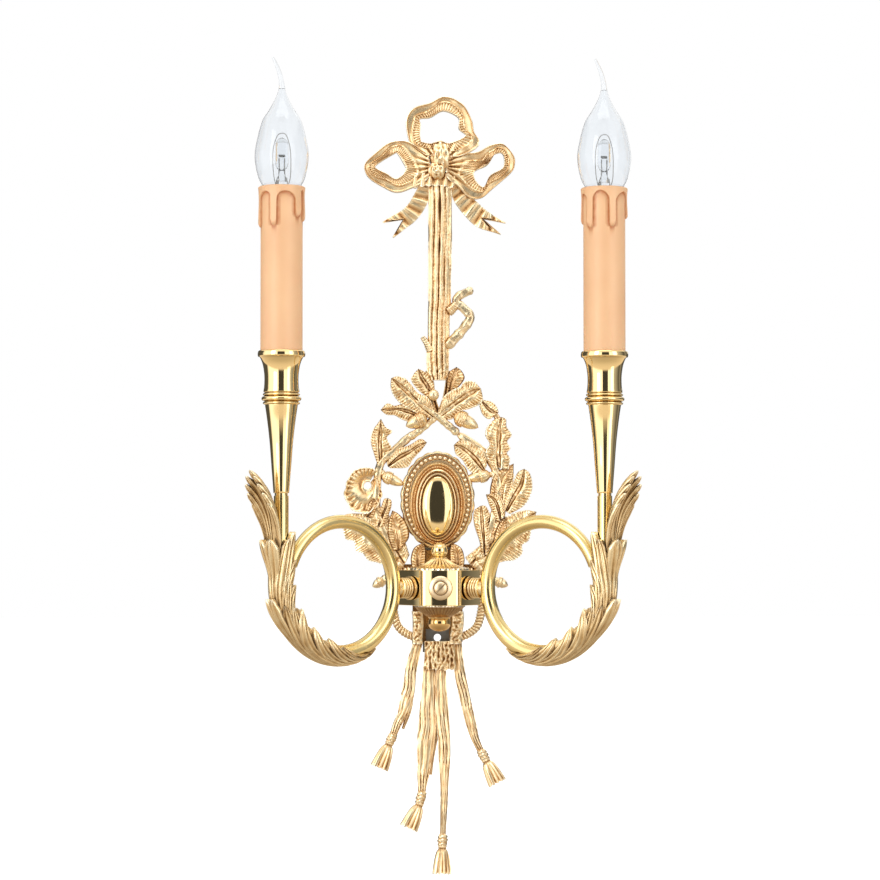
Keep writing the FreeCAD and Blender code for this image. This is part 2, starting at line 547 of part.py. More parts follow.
# Candle: cone, cup, rod, lampholder, sleeve.
def candle(name, side):
    def add(label, outline):
        return keep(name + label, at_candle(turned(name + label, outline), side))

    bore = "rod_d / 2 + thread_play"
    rod_start = cone_top + " - rod_tuck"
    add("_cone", [("rod_bore / 2", "stem_top - spigot_long"), ("spigot_d / 2", "stem_top - spigot_long"),
                  ("spigot_d / 2", "stem_top"),
                  ("stem_d / 2", "stem_top"), ("cone_waist_d / 2", cone_lower), ("cone_mid_d / 2", cone_middle),
                  ("cone_top_d / 2", cone_top), (bore, cone_top), (bore, rod_start), ("rod_bore / 2", rod_start)])
    groove = "band_d / 2 - 1.2"
    band = [(groove, "%s + band_tall * %d / 3" % (cone_top, i), "-band_tall / 6 * 1.02") for i in range(3)]
    band_top = cone_top + " + band_tall"
    add("_cup", [(bore, cone_top)] + band
        + [(groove, band_top), ("neck_d / 2 - 0.6", band_top, "24"), ("waist_d / 2", band_top + " + waist_rise", "24"),
           ("flange_d / 2 - 1", cup_top + " - flange_thick"), ("flange_d / 2", cup_top + " - flange_thick"),
           ("flange_d / 2", cup_top), ("sleeve_d / 2 + seat_play", cup_top),
           ("sleeve_d / 2 + seat_play", seat_floor), (bore, seat_floor)])
    add("_rod", [("rod_bore / 2", rod_start), ("rod_d / 2", rod_start), ("rod_d / 2", seat_floor + " + rod_stand"),
                 ("rod_bore / 2", seat_floor + " + rod_stand")])
    head = holder_top + " - holder_head_long"
    add("_lampholder", [(bore, seat_floor), ("holder_leg_d / 2", seat_floor), ("holder_leg_d / 2", head),
                        ("holder_head_d / 2", head + " + 4"), ("holder_head_d / 2", holder_top),
                        ("socket_bore / 2", holder_top), ("socket_bore / 2", socket_floor), (bore, socket_floor)])
    ring = "socket_bore / 2 - thread_play"
    add("_socket_shell", [(ring + " - socket_wall", socket_floor + " + 5"), (ring, socket_floor + " + 5"),
                          (ring, holder_top + " - 1"), (ring + " - socket_wall", holder_top + " - 1")])
    touch = lamp_base + " - 0.3"
    add("_centre_contact", [("0", socket_floor + " - 8"), ("rod_d / 2", socket_floor + " - 8"),
                            ("rod_d / 2", socket_floor + " + 2"), ("1.6", touch), ("0", touch)])
    drip = sleeve_top + " - drip_long"
    add("_candle_sleeve", [("sleeve_bore / 2", seat_floor), ("sleeve_d / 2", seat_floor), ("sleeve_d / 2", drip),
                           ("drip_d / 2", drip + " + 5"), ("drip_d / 2", sleeve_top + " - 2"),
                           ("sleeve_d / 2", sleeve_top), ("sleeve_bore / 2", sleeve_top)])


# Lamp: screw cap, insulator with its contact, glass flame with a bent tip, inner capsule.
def lamp(name, side):
    def add(label, outline):
        return keep(name + label, at_candle(turned(name + label, outline), side))

    low = lamp_base + " + contact_tall + insulator_tall"
    add("_lamp_contact", [("0", lamp_base), ("contact_d / 2", lamp_base),
                          ("contact_d / 2", lamp_base + " + contact_tall"),
                          ("cap_d / 2 - 1.4", low), ("0", low)])
    add("_lamp_cap", [("cap_d / 2 - cap_wall - 1", low), ("cap_d / 2 - 0.4", low), ("cap_d / 2", low + " + 2"),
                      ("cap_d / 2", cap_top), ("cap_d / 2 - cap_wall", cap_top),
                      ("cap_d / 2 - cap_wall", low + " + 2")])
    centre = Vector(side * size("candle_reach") * math.cos(math.radians(mid)),
                    size(hub_y) - size("candle_reach") * math.sin(math.radians(mid)), 0)

    def flame(inset):
        """The glass's outside, or its inside when drawn in by the wall."""
        profile = [("glass_neck_d", cap_top), ("glass_mouth_d", glass_mouth), ("glass_d", glass_widest),
                   ("glass_upper_d", glass_upper), ("glass_shoulder_d", glass_shoulder), ("stalk_d", stalk_top)]
        points = [Vector(max(size(d) / 2 - inset, 0.4), 0, size(z)) for d, z in profile]
        points[0].z += inset
        points[-1].z -= inset
        curve = Part.BSplineCurve()
        curve.interpolate(points)
        end, start = points[-1], points[0]
        rim = [curve.toShape(), Part.makeLine(end, Vector(0, 0, end.z)),
               Part.makeLine(Vector(0, 0, end.z), Vector(0, 0, start.z)),
               Part.makeLine(Vector(0, 0, start.z), start)]
        return Part.Solid(Part.Face(Part.Wire(rim)).revolve(Vector(0, 0, 0), Vector(0, 0, 1), 360))

    low_end, tip = size(stalk_top), size(stalk_top + " + tip_rise")
    sweep = size("tip_sweep")
    bend = Part.Arc(Vector(0, 0, low_end), Vector(-sweep * 0.22, 0, (low_end + tip) / 2 + 1),
                    Vector(-sweep, 0, tip)).toShape()
    start = bend.valueAt(bend.FirstParameter)
    stop = bend.valueAt(bend.LastParameter)
    overlap = 1.5
    start -= bend.tangentAt(bend.FirstParameter) * overlap
    stalk = tapered([bend], [(start, bend.tangentAt(bend.FirstParameter), size("stalk_d")),
                             (stop, bend.tangentAt(bend.LastParameter), size("tip_d"))])
    glass = joined([flame(0), stalk]).cut(flame(size("glass_wall")))
    capsule_r, base = size("capsule_d / 2"), size(cap_top + " + capsule_rise")
    long, seal = size("capsule_long"), size(cap_top + " - 4")
    capsule = joined([Part.makeCylinder(capsule_r, long - capsule_r, Vector(0, 0, base)),
                      Part.makeSphere(capsule_r, Vector(0, 0, base + long - capsule_r))])
    wires = [Part.makeCylinder(size("post_wire_d / 2"), base + 1 - seal,
                               Vector(s * size("post_wire_pitch / 2"), 0, seal)) for s in (-1, 1)]
    pinch = Part.makeCylinder(size("cap_d / 2 - cap_wall - 0.6"), 3, Vector(0, 0, seal - 2))
    inner = joined([capsule, pinch] + wires)
    solid(name + "_lamp_glass", glass.cut(inner), FreeCAD.Placement(centre, FreeCAD.Rotation()))
    solid(name + "_lamp_capsule", inner, FreeCAD.Placement(centre, FreeCAD.Rotation()))


# Castings on the wall: outlines in (x, z) as seen from the front, thick towards the room.
def smooth_wire(points):
    curve = Part.BSplineCurve()
    curve.interpolate([Vector(x, 0, z) for x, z in points], PeriodicFlag=True)
    return Part.Wire(curve.toShape())


def corner_wire(points):
    corners = [Vector(x, 0, z) for x, z in points]
    return Part.makePolygon(corners + corners[:1])


def plate(wire, back, thick):
    """A flat solid of a front outline, from its back's distance off the wall towards the room."""
    shape = Part.Face(wire).extrude(Vector(0, -thick, 0))
    shape.translate(Vector(0, -back, 0))
    return shape


def oak_leaf(base, tip, wide, lobes, back=None, thick=None):
    """A lobed leaf from base to tip."""
    back = size("cast_back") if back is None else back
    thick = size("leaf_thick") if thick is None else thick
    start, end = Vector(base[0], 0, base[1]), Vector(tip[0], 0, tip[1])
    along = end - start
    across = Vector(-along.z, 0, along.x).normalize()
    steps = 4 * lobes
    edge = []
    for i in range(1, steps):
        share = i / steps
        half = wide / 2 * math.sin(math.pi * share ** 0.85) ** 0.6
        half *= 0.86 - 0.14 * math.cos(2 * math.pi * lobes * share)
        edge.append((share, half))
    upper = [start + along * share + across * half for share, half in edge]
    lower = [start + along * share - across * half for share, half in reversed(edge)]
    points = [start] + upper + [end] + lower
    return plate(corner_wire([(p.x, p.z) for p in points]), back, thick)


def bar(points, diameter, depth):
    """A round branch through points, its axis at a depth off the wall."""
    places = [Vector(x, -depth, z) for x, z in points]
    pieces = [Part.makeSphere(diameter / 2, p) for p in places]
    for start, end in zip(places, places[1:]):
        pieces.append(Part.makeCylinder(diameter / 2, (end - start).Length, start, end - start))
    return joined(pieces)


def acorn(centre, direction, long, diameter, depth):
    """An acorn: a ball cap and an egg lying along a direction."""
    axis = Vector(direction[0], 0, direction[1]).normalize()
    middle = Vector(centre[0], -depth, centre[1])
    egg = Part.makeSphere(1)
    stretch = FreeCAD.Matrix()
    stretch.scale(diameter / 2, diameter / 2, long / 2)
    egg = egg.transformGeometry(stretch)
    egg.Placement = FreeCAD.Placement(middle, FreeCAD.Rotation(Vector(0, 0, 1), axis))
    cap = Part.makeSphere(diameter * 0.54, middle - axis * long * 0.28)
    return joined([egg, cap])


def oval(wide, tall, drop=0):
    """An upright oval wire round the medallion's centre, or this far below it."""
    middle = Vector(0, 0, size("medallion_rise") - drop)
    ellipse = Part.Ellipse(middle, tall / 2, wide / 2)
    ring = Part.Wire(ellipse.toShape())
    ring.rotate(middle, Vector(0, 0, 1), 90)
    ring.rotate(middle, Vector(1, 0, 0), 90)
    bounds = ring.BoundBox
    if bounds.ZLength < bounds.XLength:
        ring.rotate(middle, Vector(0, 1, 0), 90)
    return ring


def medallion():
    wide, tall = size("medallion_wide"), size("medallion_tall")
    back, thick = size("cast_back"), size("medallion_thick")
    layers = [plate(oval(wide, tall), back, thick)]
    drop = size("cabochon_drop")
    for inset, rise, low in (("rim_inset", "rim_rise", size("rim_drop")), ("frame_inset", "frame_rise", drop)):
        away = 2 * size(inset)
        layers.append(plate(oval(wide - away, tall - away, low), back, thick + size(rise)))
    around = 2 * size("bead_inset")
    half_wide, half_tall = (wide - around) / 2, (tall - around) / 2
    count = int(size("beads"))
    for i in range(count):
        turn = 2 * math.pi * i / count
        place = Vector(half_wide * math.cos(turn), -back - thick + size("bead_d / 6"),
                       size("medallion_rise") + half_tall * math.sin(turn))
        layers.append(Part.makeSphere(size("bead_d / 2"), place, Vector(0, -1, 0)))
    gap = 2 * size("cabochon_play")
    seat = plate(oval(size("cabochon_wide") + gap, size("cabochon_tall") + gap, drop), back + 2, 50)
    solid("medallion_frame", joined(layers).cut(seat))
    dome = Part.makeSphere(1)
    stretch = FreeCAD.Matrix()
    rise = size("cabochon_rise")
    stretch.scale(size("cabochon_wide / 2"), rise, size("cabochon_tall / 2"))
    dome = dome.transformGeometry(stretch)
    face = back + thick + size("frame_rise - 1.5")
    level = size("medallion_rise") - drop
    dome.translate(Vector(0, -face, level))
    room = Part.makeBox(wide, tall, tall, Vector(-wide / 2, -face - tall, level - tall / 2))
    base = plate(oval(size("cabochon_wide"), size("cabochon_tall"), drop), back + 2, face - back - 2)
    solid("cabochon", joined([base, dome.common(room)]))


def bow():
    back, deep = size("cast_back"), size("ribbon_deep")

    def loop(outer, hole):
        return plate(smooth_wire(outer), back, deep).cut(plate(smooth_wire(hole), back - 1, deep + 2))

    top = loop([(-8, 294), (-17, 301), (-20, 306), (-21.5, 319), (-16, 327), (-5, 330.5), (5, 335), (17, 330),
                (23.5, 319), (25, 311), (28.5, 302), (16, 294), (4, 293)],
               [(-11.3, 303.5), (-12, 309), (-11.5, 315), (-12, 319.5), (-5, 320.5), (4, 325), (14, 320.5),
                (14.5, 313), (19, 308), (8, 303), (2, 304.5), (-5, 302.5)])
    left = loop([(-6, 296), (-19, 303.5), (-26, 304.5), (-33, 303), (-40, 298), (-49.5, 289), (-49.5, 283),
                 (-46, 278), (-38, 273), (-29, 269), (-20, 271), (-6, 279)],
                [(-28, 296.5), (-38, 290.5), (-42.5, 286), (-35, 282), (-28, 278.5), (-22, 284.5), (-24, 290)])
    right = loop([(6, 294), (19, 296), (27.5, 297), (37, 302), (45, 302.5), (52, 295), (53, 289), (50.5, 283),
                  (38, 272), (30, 265.5), (22, 265.5), (14, 273), (6, 280)],
                 [(39, 295.5), (43.5, 296.5), (45.5, 293), (44.5, 286), (36, 281), (31.5, 273), (26, 277.5),
                  (25.5, 283.5), (34, 288)])
    thin = size("tail_thick")
    left_tail = plate(corner_wire([(-16, 268), (-20, 262), (-26, 257), (-32, 253), (-37, 244), (-33, 250),
                                   (-27, 252.5),
                                   (-24, 252), (-24, 247), (-29, 237), (-22, 244), (-16, 250), (-11, 257), (-8, 265),
                                   (-5, 274), (-13, 276)]), back, thin)
    right_tail = plate(corner_wire([(5, 275), (9, 268), (14, 261), (20, 254), (27, 247), (33, 243.5), (42, 242),
                                    (36, 246.5), (34.5, 250), (38, 251), (48, 249), (43, 253), (34, 258), (29, 261),
                                    (26, 268), (14, 278)]), back, thin)
    knot = Part.makeSphere(1)
    stretch = FreeCAD.Matrix()
    stretch.scale(size("knot_wide / 2"), size("ribbon_deep + 4"), size("knot_tall / 2"))
    knot = knot.transformGeometry(stretch)
    knot.translate(Vector(0, -back, size("knot_rise")))
    front = Part.makeBox(200, 40, 400, Vector(-100, -back - 40, 0))
    shape = joined([top, left, right, left_tail, right_tail, knot.common(front)])
    post_top = size("post_top")
    clear = Part.makeBox(size("post_wide"), 40, 60,
                         Vector(size("post_shift - post_wide / 2"), -40, post_top - 60))
    solid("ribbon_bow", largest(shape.cut(clear)))


def reeded(middle, wide, reed, count, level):
    """A plan outline with a flat back and a row of half-round reeds on a gently bowed front."""
    back = size("cast_back")
    pitch = wide / count
    valleys = []
    for i in range(count + 1):
        share = 2 * i / count - 1
        valleys.append(Vector(middle + wide / 2 * share, -back - reed * (0.7 + 1.0 * (1 - share ** 2)), level))
    edges = []
    for start, end in zip(valleys, valleys[1:]):
        crest = (start + end) * 0.5 + Vector(0, -pitch * 0.42, 0)
        edges.append(Part.Arc(start, crest, end).toShape())
    right, left = Vector(valleys[-1].x, -back, level), Vector(valleys[0].x, -back, level)
    edges += [Part.makeLine(valleys[-1], right), Part.makeLine(right, left), Part.makeLine(left, valleys[0])]
    return Part.Wire(edges)


def post():
    count = int(size("post_stems"))
    wide, foot_wide = size("post_wide"), size("post_foot_wide")
    top, taper, foot = size("post_top"), size("post_taper"), size("post_foot")
    back, shift = size("cast_back"), size("post_shift")
    reed = size("post_reed")
    upper, middle = reeded(shift, wide, reed, count, top), reeded(shift, wide, reed, count, taper)
    low = reeded(shift - 1.4, foot_wide, reed * 0.8, count, foot)
    shaft = Part.Face(upper).extrude(Vector(0, 0, taper - top))
    neck = Part.makeLoft([middle, low], True, True)
    depth = back + size("twig_d / 2") + 0.6
    edge = shift + wide / 2
    twig = bar([(edge - 3, 166), (edge + 8, 176), (edge + 12.5, 184), (edge + 3, 193), (edge + 5, 198),
                (edge + 13, 202.5)], size("twig_d"), depth)
    stub = bar([(shift - wide / 2 + 3, 176), (shift - wide / 2 - 1.5, 170.5)], size("twig_d"), depth)
    solid("reed_post", joined([shaft, neck, twig, stub]))


def crown_shape():
    """The crossed tops of the two oak branches."""
    back = size("cast_back")
    axis = back + size("branch_lift + branch_d / 2")
    fat = size("leaf_thick") + 2
    leaves = [oak_leaf((0, 115), (-31.5, 143), 16, 4, back, fat), oak_leaf((-4, 115), (-38.5, 122), 11, 3),
              oak_leaf((-6, 129), (-16, 149), 14, 2), oak_leaf((0, 114.5), (29.5, 136), 19, 4, back, fat),
              oak_leaf((10, 124), (13.6, 150.5), 13, 2)]
    ball = Part.makeSphere(3.6, Vector(-2.8, -back - fat - 1, 130.3))
    arms_crossed = bar([(14, 104), (-0.3, 116), (-14, 126)], size("branch_d"), axis + 2)
    other = bar([(-20, 101), (-0.3, 116), (12, 124)], size("branch_d"), axis + 1)
    foot = size("post_foot")
    notch, horn = foot - 9, foot + 4
    neck = plate(corner_wire([(-4, 118), (-5, notch), (-9, foot), (-3.4, horn), (-3.4, notch), (7.5, notch),
                              (7.5, horn), (13, foot + 1), (10, notch), (5, 118)]), back, fat)
    nuts = [acorn((-15.6, 111.5), (-0.8, -0.45), 14, size("acorn_d"), axis + 2),
            acorn((19.1, 111.8), (0.8, -0.35), 14, size("acorn_d"), axis + 2)]
    return joined(leaves + [ball, arms_crossed, other, neck] + nuts)


def curl_hole(x, z):
    """The hole that a curled leaf leaves in its middle."""
    return Part.makeCylinder(size("curl_hole_d / 2"), 40, Vector(x, 0, z), Vector(0, -1, 0))


def wreath():
    back = size("cast_back")
    axis = back + size("branch_lift + branch_d / 2")
    crown = crown_shape()
    post_prism = nodes["reed_post"].Shape
    room = Part.makeBox(300, 60, 600, Vector(-150, -60 - back, -300))
    crown = largest(crown.common(room).cut(post_prism))
    solid("oak_crown", crown)
    wide, tall = size("medallion_wide"), size("medallion_tall")
    inner = plate(oval(wide, tall), back - 5, 60)
    spine = spine_plate(40)
    ring = oak_leaf((-37, 64), (-63.5, 67), 30, 4).cut(curl_hole(-47.5, 69.5))
    left = [bar([(-17, 104), (-30, 92), (-40, 83), (-41, 68.6), (-41, 50.5), (-27, 17)], size("branch_d"), axis),
            oak_leaf((-38, 82), (-38, 115), 14, 3), oak_leaf((-33, 83), (-7, 101), 14, 3), ring,
            acorn((-29.5, 73), (1, -0.5), 17, 6.5, axis), oak_leaf((-43, 47), (-31, 62), 12, 2),
            oak_leaf((-22, 13), (-66, 48), 25, 5), oak_leaf((-30, 14), (-29, 56), 13, 3),
            bar([(-24, 16), (-34, 6), (-42, 1)], size("branch_d") + 1.2, axis)]
    right = [bar([(14, 104), (18, 101), (29.5, 93), (39.2, 80), (40.6, 57.5), (27, 17)], size("branch_d"), axis),
             bar([(26, 128.5), (37, 120), (43, 100), (40, 82)], size("branch_d") - 1.4, axis),
             oak_leaf((26, 128), (42.8, 115.5), 11, 2), oak_leaf((40, 80), (42, 117.5), 17, 4),
             oak_leaf((37, 78), (10.5, 99), 14, 3), oak_leaf((45, 51), (60, 83.5), 19, 4),
             oak_leaf((38, 58), (54, 86.5), 15, 3), oak_leaf((40, 52), (36, 71), 11, 2),
             acorn((28.5, 74), (-1, -0.2), 17, 7, axis), oak_leaf((22, 13), (66, 50), 25, 5),
             oak_leaf((32, 20), (29, 58), 11, 3), oak_leaf((34, 22), (45, 58), 15, 3),
             bar([(24, 16), (35, 6), (46, 1)], size("branch_d") + 1.2, axis)]
    for label, pieces in (("oak_branch_left", left), ("oak_branch_right", right)):
        shape = joined(pieces).common(room).cut([inner, spine, crown])
        solid(label, largest(shape))


def spine_plate(thick):
    """The plate behind the hub that carries the castings above and below."""
    half = size("spine_wide / 2")
    low = size("spine_low")
    wing = half + 10
    corners = [(-wing, 15), (-13, 15), (-13, 27.5), (-7, 24.5), (7, 24.5), (13, 27.5), (13, 15), (wing, 15),
               (wing, 9), (half, 5), (half, low), (8, low), (8, low + 9), (-8, low + 9), (-8, low), (-half, low),
               (-half, 5), (-wing, 9)]
    return plate(corner_wire(corners), size("cast_back"), thick)


def spine():
    back = size("cast_back")
    shape = spine_plate(size("spine_thick"))
    frame = plate(oval(size("medallion_wide"), size("medallion_tall")), back - 5, 60)
    hole = Part.makeCylinder(size("spacer_bore / 2"), 20, Vector(0, 0, 0), Vector(0, -1, 0))
    solid("spine_plate", largest(shape.cut([frame, hole])))


def ropes():
    depth = size("cast_back") + size("rope_d / 2")
    for name, side in sides:
        start = Vector(side * 30, -depth, -14)
        end = Vector(side * (size("spine_wide / 2") - 2), -depth, -34.6)
        middle = Vector(side * 27.5, -depth, -29)
        curve = Part.Arc(start, middle, end).toShape()
        rope = tube_along([curve], size("rope_d"))
        top = bar([(side * 30, -14), (side * 24, 10)], size("rope_d") - 1, depth)
        carry = joined([rope, top])
        clear = [spine_plate(40), nodes["oak_branch_" + name].Shape, nodes["drop_binding"].Shape]
        solid(name + "_rope", largest(carry.cut(clear)))


def drop():
    back, deep = size("cast_back"), size("strap_deep")
    low = size("spine_low")
    half = size("binding_wide / 2")
    binding = Part.makeBox(size("binding_wide"), size("binding_deep"), size("binding_tall"),
                           Vector(-half, -back - size("binding_deep"), low - size("binding_tall")))
    wing = plate(corner_wire([(-17, low), (16, low), (17, low - 8), (-18, low - 8)]), back, deep)
    solid("drop_binding", joined([binding, wing]))

    def strap(label, spine_points, widths, knot, neck, foot):
        """A flat strap down a line of points, a knot and a flared tassel."""
        left_edge = [(x - wide / 2, z) for (x, z), wide in zip(spine_points, widths)]
        right_edge = [(x + wide / 2, z) for (x, z), wide in zip(spine_points, widths)]
        flat = plate(corner_wire(left_edge + right_edge[::-1]), back, deep)
        axis = back + size("tassel_foot_d / 2") - 1
        last, ball, top, end = [Vector(x, -axis, z) for x, z in (spine_points[-1], knot, neck, foot)]
        flared = Part.makeCone(size("tassel_neck_d / 2"), size("tassel_foot_d / 2"), (end - top).Length, top,
                               end - top)
        globe = Part.makeSphere(size("tassel_knot_d / 2"), ball)
        links = [Part.makeCylinder(size("tassel_neck_d * 0.45"), (b - a).Length, a, b - a)
                 for a, b in ((last, ball), (ball, top + (end - top) * 0.2))]
        return joined([flat, globe, flared] + links).cut(nodes["drop_binding"].Shape)

    end = low - size("binding_tall")
    straps = {
        "strap_far_left": ([(-14.2, low - 8), (-17.7, -55), (-19.7, -70), (-23, -84), (-27.5, -94), (-29.8, -100)],
                           (6.5, 6.5, 8.5, 9, 6.5, 5), (-31, -102.5), (-33, -107), (-39.8, -123.4)),
        "strap_left": ([(-5.4, end), (-6, -75), (-7.4, -92), (-8.4, -108), (-9.2, -122), (-10.2, -133),
                        (-10.5, -138)],
                       (8.6, 9.2, 11.4, 11.6, 9.8, 7.4, 5.4), (-11, -142), (-12.5, -148), (-19.8, -164.2)),
        "strap_middle": ([(2.4, end), (2.6, -75), (3.8, -95), (4.6, -106), (5.2, -112), (4.6, -140), (3.6, -167)],
                         (6.8, 8.4, 9.2, 8, 6.2, 5, 4), (3.5, -171), (3.2, -177), (2.8, -195.5)),
        "strap_far_right": ([(13.8, low - 8), (15, -57), (18.5, -75), (22, -90), (25.5, -103), (28.4, -110)],
                            (6.2, 6.2, 7.6, 7.4, 6, 4.8), (30.5, -113.5), (33, -118.5), (40.8, -133.8)),
    }
    taken = []
    for label, drawing in straps.items():
        shape = strap(label, *drawing)
        if taken:
            shape = shape.cut(taken)
        solid(label, largest(shape))
        taken.append(nodes[label].Shape)


wall_strap()
hub()
clamp_stack()
arms()
for name, side in sides:
    candle(name, side)
    lamp(name, side)
medallion()
post()
bow()
spine()
wreath()
drop()
ropes()

doc.recompute()
for thing in doc.Objects:
    if any(word in thing.State for word in ("Invalid", "Error")):
        raise RuntimeError("%s did not compute: %s" % (thing.Label, thing.State))
for label, thing in nodes.items():
    if thing.Shape.isNull() or not thing.Shape.isValid():
        raise RuntimeError(label + " has no valid shape")

os.makedirs("parts", exist_ok=True)
for label, thing in nodes.items():
    thing.Shape.exportStep("parts/%s.step" % label)
    print(label, len(thing.Shape.Solids), round(thing.Shape.Volume))
print(len(nodes), "sub-parts")
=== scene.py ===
import json
import math
import bmesh
import bpy
import numpy
from mathutils import Matrix, Vector, noise


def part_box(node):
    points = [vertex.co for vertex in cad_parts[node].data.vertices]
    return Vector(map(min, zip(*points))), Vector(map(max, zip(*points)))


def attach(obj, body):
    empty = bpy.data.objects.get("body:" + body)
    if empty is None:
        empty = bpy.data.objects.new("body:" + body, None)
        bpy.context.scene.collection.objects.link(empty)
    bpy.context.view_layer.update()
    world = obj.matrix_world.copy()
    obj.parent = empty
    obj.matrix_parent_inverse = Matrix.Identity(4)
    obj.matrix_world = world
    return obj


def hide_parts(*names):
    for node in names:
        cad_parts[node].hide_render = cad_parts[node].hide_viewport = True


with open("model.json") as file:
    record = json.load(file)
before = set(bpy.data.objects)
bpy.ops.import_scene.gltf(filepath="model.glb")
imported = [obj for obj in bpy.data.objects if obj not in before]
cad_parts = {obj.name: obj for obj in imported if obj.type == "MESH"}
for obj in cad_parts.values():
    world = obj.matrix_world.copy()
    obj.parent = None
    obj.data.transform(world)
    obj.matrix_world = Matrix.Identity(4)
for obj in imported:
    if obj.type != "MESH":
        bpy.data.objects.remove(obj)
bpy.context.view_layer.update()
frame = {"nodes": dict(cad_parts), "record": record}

for spare in ("Cube", "Light", "Camera"):       # whatever an empty file starts with
    if spare in bpy.data.objects and spare not in frame["nodes"]:
        bpy.data.objects.remove(bpy.data.objects[spare])
metre = 0.001                                   # every size below is in millimetres
scene = bpy.context.scene
fullTurn = 2 * math.pi

# the camera stands where the photograph's stood
view = {"place": (-0.062, -1.925, 0.040), "pitch": 91.781, "yaw": -1.9, "lens": 115.16}
cameraData = bpy.data.cameras.new("photoCamera")
cameraData.lens = view["lens"]
cameraData.sensor_width = 36
photoCamera = bpy.data.objects.new("photoCamera", cameraData)
photoCamera.location = view["place"]
photoCamera.rotation_euler = (math.radians(view["pitch"]), 0, math.radians(view["yaw"]))
scene.collection.objects.link(photoCamera)
scene.camera = photoCamera
scene.view_settings.view_transform = "Standard"
print("camera placed")


# shader nodes
def node(tree, kind, **settings):
    # a setting is a socket to join, a value for an input, or one of the node's own choices
    made = tree.nodes.new("ShaderNode" + kind)
    for key, value in settings.items():
        if isinstance(value, bpy.types.NodeSocket):
            tree.links.new(value, made.inputs[key])
        elif key in made.inputs:
            made.inputs[key].default_value = value
        else:
            setattr(made, key, value)
    return made


def join(tree, start, end):
    tree.links.new(start, end)


def ramp(tree, source, stops):
    made = node(tree, "ValToRGB", Fac=source)
    elements = made.color_ramp.elements
    while len(elements) < len(stops):
        elements.new(0.5)
    for element, (place, colour) in zip(elements, stops):
        element.position = place
        element.color = (*colour, 1) if isinstance(colour, tuple) else (colour, colour, colour, 1)
    return made.outputs[0]


def maths(tree, kind, a, b=None, clamp=False):
    made = node(tree, "Math", operation=kind, use_clamp=clamp)
    for socket, value in zip(made.inputs, (a, b)):
        if isinstance(value, (int, float)):
            socket.default_value = value
        elif value is not None:
            join(tree, value, socket)
    return made.outputs[0]


def mixColour(tree, share, a, b):
    made = node(tree, "Mix", data_type="RGBA")
    join(tree, share, made.inputs[0])
    for socket, value in ((made.inputs[6], a), (made.inputs[7], b)):
        if isinstance(value, tuple):
            socket.default_value = (*value, 1)
        else:
            join(tree, value, socket)
    return made.outputs[2]


def mixShader(tree, share, a, b):
    made = node(tree, "MixShader")
    for socket, value in zip(made.inputs, (share, a, b)):
        join(tree, value, socket)
    return made.outputs[0]


def newMaterial(name, **sockets):
    material = bpy.data.materials.new(name)
    material.use_nodes = True
    tree = material.node_tree
    shader = tree.nodes["Principled BSDF"]
    for key, value in sockets.items():
        label = "".join(" " + c if c.isupper() else c for c in key).strip().title().replace("Ior", "IOR")
        shader.inputs[label].default_value = value
    return material, tree, shader


def grain(tree, size, detail=3, rough=0.5):
    # noise whose grains are this many millimetres apart
    where = node(tree, "TexCoord").outputs["Object"]
    made = node(tree, "TexNoise", Vector=where, Scale=1 / (size * metre), Detail=detail, Roughness=rough)
    return made.outputs["Fac"]


def painted(tree, name):
    # what was marked on the mesh, vertex by vertex
    return node(tree, "Attribute", attribute_name=name).outputs["Fac"]


def surface(tree, shader, tone, colours, marks, roughness):
    # the colour follows one pattern and the roughness another
    join(tree, ramp(tree, tone, colours), shader.inputs["Base Color"])
    join(tree, ramp(tree, marks, roughness), shader.inputs["Roughness"])


def darker(colour, share):
    return tuple(c * share for c in colour)


def bump(tree, shader, height, strength, deep):
    made = node(tree, "Bump", Height=height, Strength=strength, Distance=deep * metre)
    join(tree, made.outputs[0], shader.inputs["Normal"])


def castMaterial(name, light, middle, dark, depth, polish, clouds=0.9):
    # gilt casting: pale on the high places with a painted highlight on the convex edges, orange-brown patina in the
    # recesses, deepened by painted shade from ambient occlusion
    material, tree, shader = newMaterial(name, metallic=0.94)
    # painted shade: ambient occlusion darkens the colour where other parts close over the surface, on top of the
    # patina in the hollows
    shade = node(tree, "AmbientOcclusion", samples=6, Distance=3 * metre).outputs["AO"]
    closed = maths(tree, "MULTIPLY", maths(tree, "SUBTRACT", 1.0, shade), depth * 0.9)
    hollowPatinaAndShade = maths(tree, "ADD", maths(tree, "MULTIPLY", painted(tree, "recess"), depth), closed)
    cloud = maths(tree, "MULTIPLY", maths(tree, "SUBTRACT", grain(tree, 7, 4), 0.42), clouds)
    amount = maths(tree, "ADD", hollowPatinaAndShade, cloud, clamp=True)
    # painted highlight: convex edges are mixed towards a pale brass
    crest = maths(tree, "MULTIPLY", painted(tree, "crest"), 0.75)
    patinaShadeColour = ramp(tree, amount, [(0.0, light), (0.35, middle), (0.85, dark), (1.0, darker(dark, 0.5))])
    join(tree, mixColour(tree, crest, patinaShadeColour, paintedEdgeHighlight), shader.inputs["Base Color"])
    join(tree, ramp(tree, amount, [(0.0, polish), (1.0, polish + 0.25)]), shader.inputs["Roughness"])
    bump(tree, shader, grain(tree, 0.8, 3, 0.5), 0.14, 0.2)
    return material


